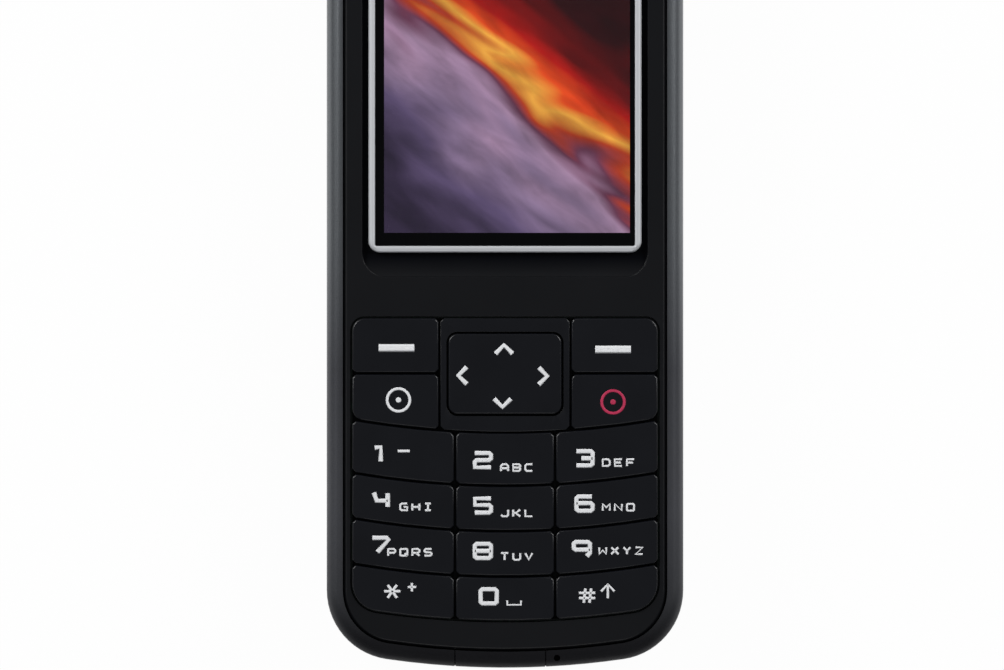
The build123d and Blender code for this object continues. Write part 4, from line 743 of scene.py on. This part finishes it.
# Each small sign: its strokes, its pen, its offset from the digit's corner and its size
SMALL_SIGNS = {
    "1": (DASH, 0.36 * MM, (3.2 * MM, 1.45 * MM), (1.9 * MM, 0.36 * MM)),
    "0": (SPACE_BRACKET, 0.28 * MM, (3.6 * MM, 0), (2.05 * MM, 0.85 * MM)),
    "star": (PLUS, 0.32 * MM, (3.05 * MM, 0.95 * MM), (1.4 * MM, 1.4 * MM)),
    "hash": (ARROW, 0.32 * MM, (2.9 * MM, 0.6 * MM), (2.0 * MM, 2.1 * MM))}
for index, node in enumerate(NUMBER_KEYS):
    glyph = node.split("_")[1]
    corner = legend_corner(index, glyph)
    pen, size = (SIGN_PEN, SIGN_SIZE) if glyph in ("star", "hash") else (DIGIT_PEN, DIGIT_SIZE)
    drawn = [stroke_mesh(DIGIT_STROKES[glyph], pen, corner, size)]
    if node in LETTERS:
        start = FOUR_LETTER_START.get(node, LETTER_START)
        lift = LETTER_LIFTS.get(node, 0) - LETTER_DROP
        drawn += letter_row(LETTERS[node], (corner[0] + start, corner[1] + lift))
    if glyph in SMALL_SIGNS:
        strokes, pen, offset, size = SMALL_SIGNS[glyph]
        drawn.append(stroke_mesh(strokes, pen, (corner[0] + offset[0], corner[1] + offset[1]), size))
    as_legend(drawn, node, white_ink)
print("legends on", len(NUMBER_KEYS), "number keys")

# %% [markdown]
# The function keys carry plain bars, rings with a dot, and four chevrons on the four-way key. Each
# has its middle on a dot of the photograph, and is drawn with the same pen strokes as the digits.

# %% Bars of the soft keys
BAR_DOTS = {"soft_key_left": (396.5, 348), "soft_key_right": (613, 349.5)}
BAR_SIZE = (5.6 * MM, 1.0 * MM)


def sign_at(dot, strokes, pen, size):
    """Ink sign with its middle on a dot of the photograph."""
    middle_x, middle_y = at_dot(*dot)
    return stroke_mesh(strokes, pen, (middle_x - size[0] / 2, middle_y - size[1] / 2), size)


for node, dot in BAR_DOTS.items():
    as_legend([sign_at(dot, DASH, BAR_SIZE[1], BAR_SIZE)], node, white_ink)
print("bars", len(BAR_DOTS))

# %% Rings of the send and end keys
RING_DOTS = {"send_key": (398.5, 400), "end_key": (613, 402)}
RING_INKS = {"send_key": white_ink, "end_key": red_ink}
RING_SIZE = (3.3 * MM, 3.3 * MM)
RING_PEN = 0.38 * MM
GRID_MIDDLE = 0.5
RING_RADIUS = 0.5
POINT_RADIUS = 0.06


def ring_points(radius, count=32):
    """Closed ring of points round the middle of the grid."""
    ring = []
    for step in range(count):
        angle = math.tau * step / count
        ring.append((GRID_MIDDLE + radius * math.cos(angle), GRID_MIDDLE + radius * math.sin(angle)))
    return ring + ring[:1]


ring_and_point = [ring_points(RING_RADIUS), ring_points(POINT_RADIUS, 12)]
for node, dot in RING_DOTS.items():
    as_legend([sign_at(dot, ring_and_point, RING_PEN, RING_SIZE)], node, RING_INKS[node])
print("rings", len(RING_DOTS))

# %% Chevrons of the four-way key
# The turn of each chevron in degrees, and its dot in the photograph
CHEVRON_DOTS = {0: (504, 349.5), 90: (462.5, 375.5), 180: (502.5, 403), 270: (543, 376)}
CHEVRON_SIZE = (2.8 * MM, 2.8 * MM)
CHEVRON_PEN = 0.62 * MM
CHEVRON_RISE = 0.75
chevron = [(-0.5, -CHEVRON_RISE / 3), (0, CHEVRON_RISE / 3), (0.5, -CHEVRON_RISE / 3)]
chevrons = []
for degrees, dot in CHEVRON_DOTS.items():
    cosine = math.cos(math.radians(degrees))
    sine = math.sin(math.radians(degrees))
    points = [(GRID_MIDDLE + x * cosine - y * sine, GRID_MIDDLE + x * sine + y * cosine) for x, y in chevron]
    chevrons.append(sign_at(dot, [points], CHEVRON_PEN, CHEVRON_SIZE))
as_legend(chevrons, "nav_key", white_ink)
print("chevrons", len(chevrons))

# %% [markdown]
# Six screws hold the housing, with their heads towards the back, in the bottom of their wells. One
# is modelled and then copied: a cylinder is the head, its rim is softened with a bevel, a cross is
# cut into it with booleans, and a longer cylinder is the plain shank. A thread would be hidden in
# the columns, so none is cut.

# %% One cross-head screw
screw_low, screw_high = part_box("housing_screws")
HEAD_RADIUS = 1.3 * MM
HEAD_HEIGHT = 0.8 * MM
HEAD_RIM = 0.12 * MM
SHANK_RADIUS = 0.62 * MM
CROSS_LENGTH = 2.0 * MM
CROSS_WIDTH = 0.34 * MM
CROSS_DEPTH = 0.45 * MM
shank_length = screw_high.z - screw_low.z - HEAD_HEIGHT

bpy.ops.object.select_all(action="DESELECT")
bpy.ops.mesh.primitive_cylinder_add(vertices=32, radius=HEAD_RADIUS, depth=HEAD_HEIGHT,
                                    location=(0, 0, screw_low.z + HEAD_HEIGHT / 2))
head = bpy.context.object
rim = head.modifiers.new("rim", "BEVEL")
rim.width = HEAD_RIM
rim.segments = 2
rim.limit_method = "ANGLE"
bpy.ops.object.modifier_apply(modifier=rim.name)
for along, across in ((CROSS_LENGTH, CROSS_WIDTH), (CROSS_WIDTH, CROSS_LENGTH)):
    bpy.ops.object.select_all(action="DESELECT")
    bpy.ops.mesh.primitive_cube_add(size=1, location=(0, 0, screw_low.z))
    cutter = bpy.context.object
    cutter.scale = (along, across, 2 * CROSS_DEPTH)
    only(head)
    cross = head.modifiers.new("cross", "BOOLEAN")
    cross.operation = "DIFFERENCE"
    cross.object = cutter
    bpy.ops.object.modifier_apply(modifier=cross.name)
    bpy.data.objects.remove(cutter)
bpy.ops.object.select_all(action="DESELECT")
bpy.ops.mesh.primitive_cylinder_add(vertices=24, radius=SHANK_RADIUS, depth=shank_length,
                                    location=(0, 0, screw_low.z + HEAD_HEIGHT + shank_length / 2))
shank = bpy.context.object
screw = joined([head, shank], "screw")
bpy.ops.object.transform_apply(location=True, rotation=True, scale=True)
print("screw faces", len(screw.data.polygons))

# %% Six screws in their columns
SCREW_PLACES = [(15.5 * MM, 47.4 * MM), (19.32 * MM, -6.7 * MM), (10.5 * MM, -50.0 * MM)]
HEAD_SMOOTH_ANGLE = math.radians(35)
screws = []
for x, y in SCREW_PLACES:
    for side in (1, -1):
        placed = bpy.data.objects.new("placed_screw", screw.data.copy())
        placed.location = (side * x, y, 0)
        bpy.context.scene.collection.objects.link(placed)
        screws.append(placed)
bpy.data.objects.remove(screw)
screw_set = joined(screws, "cross_head_screws")
bpy.ops.object.transform_apply(location=True, rotation=True, scale=True)
bpy.ops.object.shade_smooth_by_angle(angle=HEAD_SMOOTH_ANGLE)
screw_set.data.materials.append(black_steel)
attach(screw_set, "phone")
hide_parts("housing_screws")
print("screws", len(screws))

# %% [markdown]
# The camera looks out of the back through a round window. The window is clear glass with black ink
# round a clear spot, told apart by the distance from its middle.

# %% Camera window with its black ring
window_low, window_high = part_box("camera_window")
LENS_X = (window_low.x + window_high.x) / 2
LENS_Y = (window_low.y + window_high.y) / 2
CLEAR_RADIUS = 2.1 * MM
lens_glass, tree = empty_material("coated_lens_glass")
place = add(tree, "ShaderNodeTexCoord").outputs["Object"]
apart = add(tree, "ShaderNodeSeparateXYZ", {"Vector": place})
flat = add(tree, "ShaderNodeCombineXYZ", {"X": apart.outputs["X"], "Y": apart.outputs["Y"]})
away = add(tree, "ShaderNodeVectorMath", {0: flat.outputs["Vector"], 1: (LENS_X, LENS_Y, 0)},
           operation="DISTANCE")
inner = add(tree, "ShaderNodeMath", {0: away.outputs["Value"], 1: CLEAR_RADIUS}, operation="LESS_THAN")
clear = add(tree, "ShaderNodeBsdfPrincipled", {
    "Base Color": linear("#eef1f6"), "Roughness": 0.02, "Transmission Weight": 1.0, "IOR": 1.5})
ring_ink = add(tree, "ShaderNodeBsdfPrincipled", {"Base Color": linear("#050506"), "Roughness": 0.1})
glass_mix = add(tree, "ShaderNodeMixShader", {
    "Fac": inner.outputs["Value"], 1: ring_ink.outputs["BSDF"], 2: clear.outputs["BSDF"]})
add(tree, "ShaderNodeOutputMaterial", {"Surface": glass_mix.outputs["Shader"]})
paint("camera_window", lens_glass)
print("camera window", round((window_high.x - window_low.x) / MM, 2), "mm across")

# %% [markdown]
# Behind the window a real camera's barrel narrows in steps to the front lens. The end face of the
# barrel is found by its direction and height, then inset and pushed in three times. A flattened
# sphere at the bottom is the front element, dark violet as a coated lens is.

# %% Stepped camera barrel
BARREL_STEPS = 3
STEP_WIDTH = 0.4 * MM
STEP_DEPTH = 0.3 * MM
FACING_BACK = -0.99
END_TOLERANCE = 0.01 * MM
barrel = finished_copy("camera_module", black_nylon, 0.05)
barrel_end = min(vertex.co.z for vertex in barrel.data.vertices)
only(barrel)
bpy.ops.object.mode_set(mode="EDIT")
bpy.ops.mesh.select_all(action="DESELECT")
bpy.ops.object.mode_set(mode="OBJECT")
for face in barrel.data.polygons:
    face.select = face.normal.z < FACING_BACK and abs(face.center.z - barrel_end) < END_TOLERANCE
bpy.ops.object.mode_set(mode="EDIT")
bpy.ops.mesh.select_mode(type="FACE")
for step in range(BARREL_STEPS):
    bpy.ops.mesh.inset(thickness=STEP_WIDTH, depth=0)
    bpy.ops.mesh.extrude_region_move(TRANSFORM_OT_translate={"value": (0, 0, STEP_DEPTH)})
bpy.ops.object.mode_set(mode="OBJECT")
print("barrel faces", len(barrel.data.polygons))

# %% Front lens element
ELEMENT_RADIUS = 1.3 * MM
ELEMENT_FLATNESS = 0.3
bottom = barrel_end + BARREL_STEPS * STEP_DEPTH
bpy.ops.object.select_all(action="DESELECT")
bpy.ops.mesh.primitive_uv_sphere_add(segments=32, ring_count=16, radius=ELEMENT_RADIUS,
                                     location=(LENS_X, LENS_Y, bottom))
element = bpy.context.object
element.name = "camera_front_element"
element.scale = (1, 1, ELEMENT_FLATNESS)
bpy.ops.object.transform_apply(location=True, rotation=True, scale=True)
bpy.ops.object.shade_smooth()
# Front element: glass with a magnesium fluoride coating, deep violet and glossy
dark_lens = finish("coated_front_element", "#141026", "#1d1238", 1, 0.04, 0.01, 1, 0.0, coat=1.0)
element.data.materials.append(dark_lens)
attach(element, "phone")
print("front element", round(2 * ELEMENT_RADIUS / MM, 2), "mm across")

# %% [markdown]
# The stage is a plain pale floor, a hair below the phone. Its colour comes from Light Path: what
# the camera, reflections and glass see of it is white, mixed with the lit floor so that a faint
# shadow stays. From underneath it is clear, so that the back can be looked at. Two soft lamps
# stand at the upper left and right, where the band shines in the photograph, and a weak one at the
# lower end keeps that readable.

# %% Floor
FLOOR_Z = -0.1 * MM
FLOOR_SIZE = 6
WHITE_SHARE = 0.97
# The plane's middle is off to one side, so that the line between its two triangles isn't under the phone
FLOOR_MIDDLE = (1.0, -1.0)
bpy.ops.object.select_all(action="DESELECT")
bpy.ops.mesh.primitive_plane_add(size=FLOOR_SIZE, location=(*FLOOR_MIDDLE, FLOOR_Z))
floor = bpy.context.object
floor.name = "floor"
floor_white, tree = empty_material("pale_floor")
lit_floor = add(tree, "ShaderNodeBsdfDiffuse", {"Color": linear("#fafafa")})
seen_white = add(tree, "ShaderNodeEmission", {"Color": linear("#ffffff"), "Strength": 1.0})
path = add(tree, "ShaderNodeLightPath")
seen = add(tree, "ShaderNodeMath", {0: path.outputs["Is Camera Ray"], 1: path.outputs["Is Transmission Ray"]},
           operation="ADD")
seen_all = add(tree, "ShaderNodeMath", {0: seen.outputs["Value"], 1: path.outputs["Is Glossy Ray"]},
               operation="ADD", use_clamp=True)
share = add(tree, "ShaderNodeMath", {0: seen_all.outputs["Value"], 1: WHITE_SHARE}, operation="MULTIPLY")
floor_mix = add(tree, "ShaderNodeMixShader", {
    "Fac": share.outputs["Value"], 1: lit_floor.outputs["BSDF"], 2: seen_white.outputs["Emission"]})
clear_below = add(tree, "ShaderNodeBsdfTransparent")
underside = add(tree, "ShaderNodeNewGeometry").outputs["Backfacing"]
one_sided = add(tree, "ShaderNodeMixShader", {
    "Fac": underside, 1: floor_mix.outputs["Shader"], 2: clear_below.outputs["BSDF"]})
add(tree, "ShaderNodeOutputMaterial", {"Surface": one_sided.outputs["Shader"]})
floor.data.materials.append(floor_white)
print("floor", round(FLOOR_Z / MM, 1), "mm below the phone's back")

# %% World
world = bpy.data.worlds.new("studio")
bpy.context.scene.world = world
world.use_nodes = True
world.node_tree.nodes.clear()
background = add(world.node_tree, "ShaderNodeBackground", {"Color": linear("#c9ccd2"), "Strength": 0.22})
add(world.node_tree, "ShaderNodeOutputWorld", {"Surface": background.outputs["Background"]})
print("world nodes", len(world.node_tree.nodes))

# %% Lamps
# Each lamp is a square: its name, its place, what it points at, its size in metres and its watts
LAMPS = [("lamp_left", (-0.55, 0.40, 0.42), (0, 0.03, 0), 0.35, 4.2),
         ("lamp_right", (0.55, 0.36, 0.42), (0, 0.03, 0), 0.35, 3.3),
         ("lamp_low", (0.0, -0.65, 0.55), (0, -0.02, 0), 0.4, 0.6)]
for name, place, target, size, watts in LAMPS:
    bpy.ops.object.light_add(type="AREA", location=place)
    lamp = bpy.context.object
    lamp.name = name
    lamp.data.size = size
    lamp.data.energy = watts
    lamp.rotation_euler = (Vector(target) - Vector(place)).to_track_quat("-Z", "Y").to_euler()
bpy.context.scene.view_settings.view_transform = "Standard"
print("lamps", len(LAMPS))
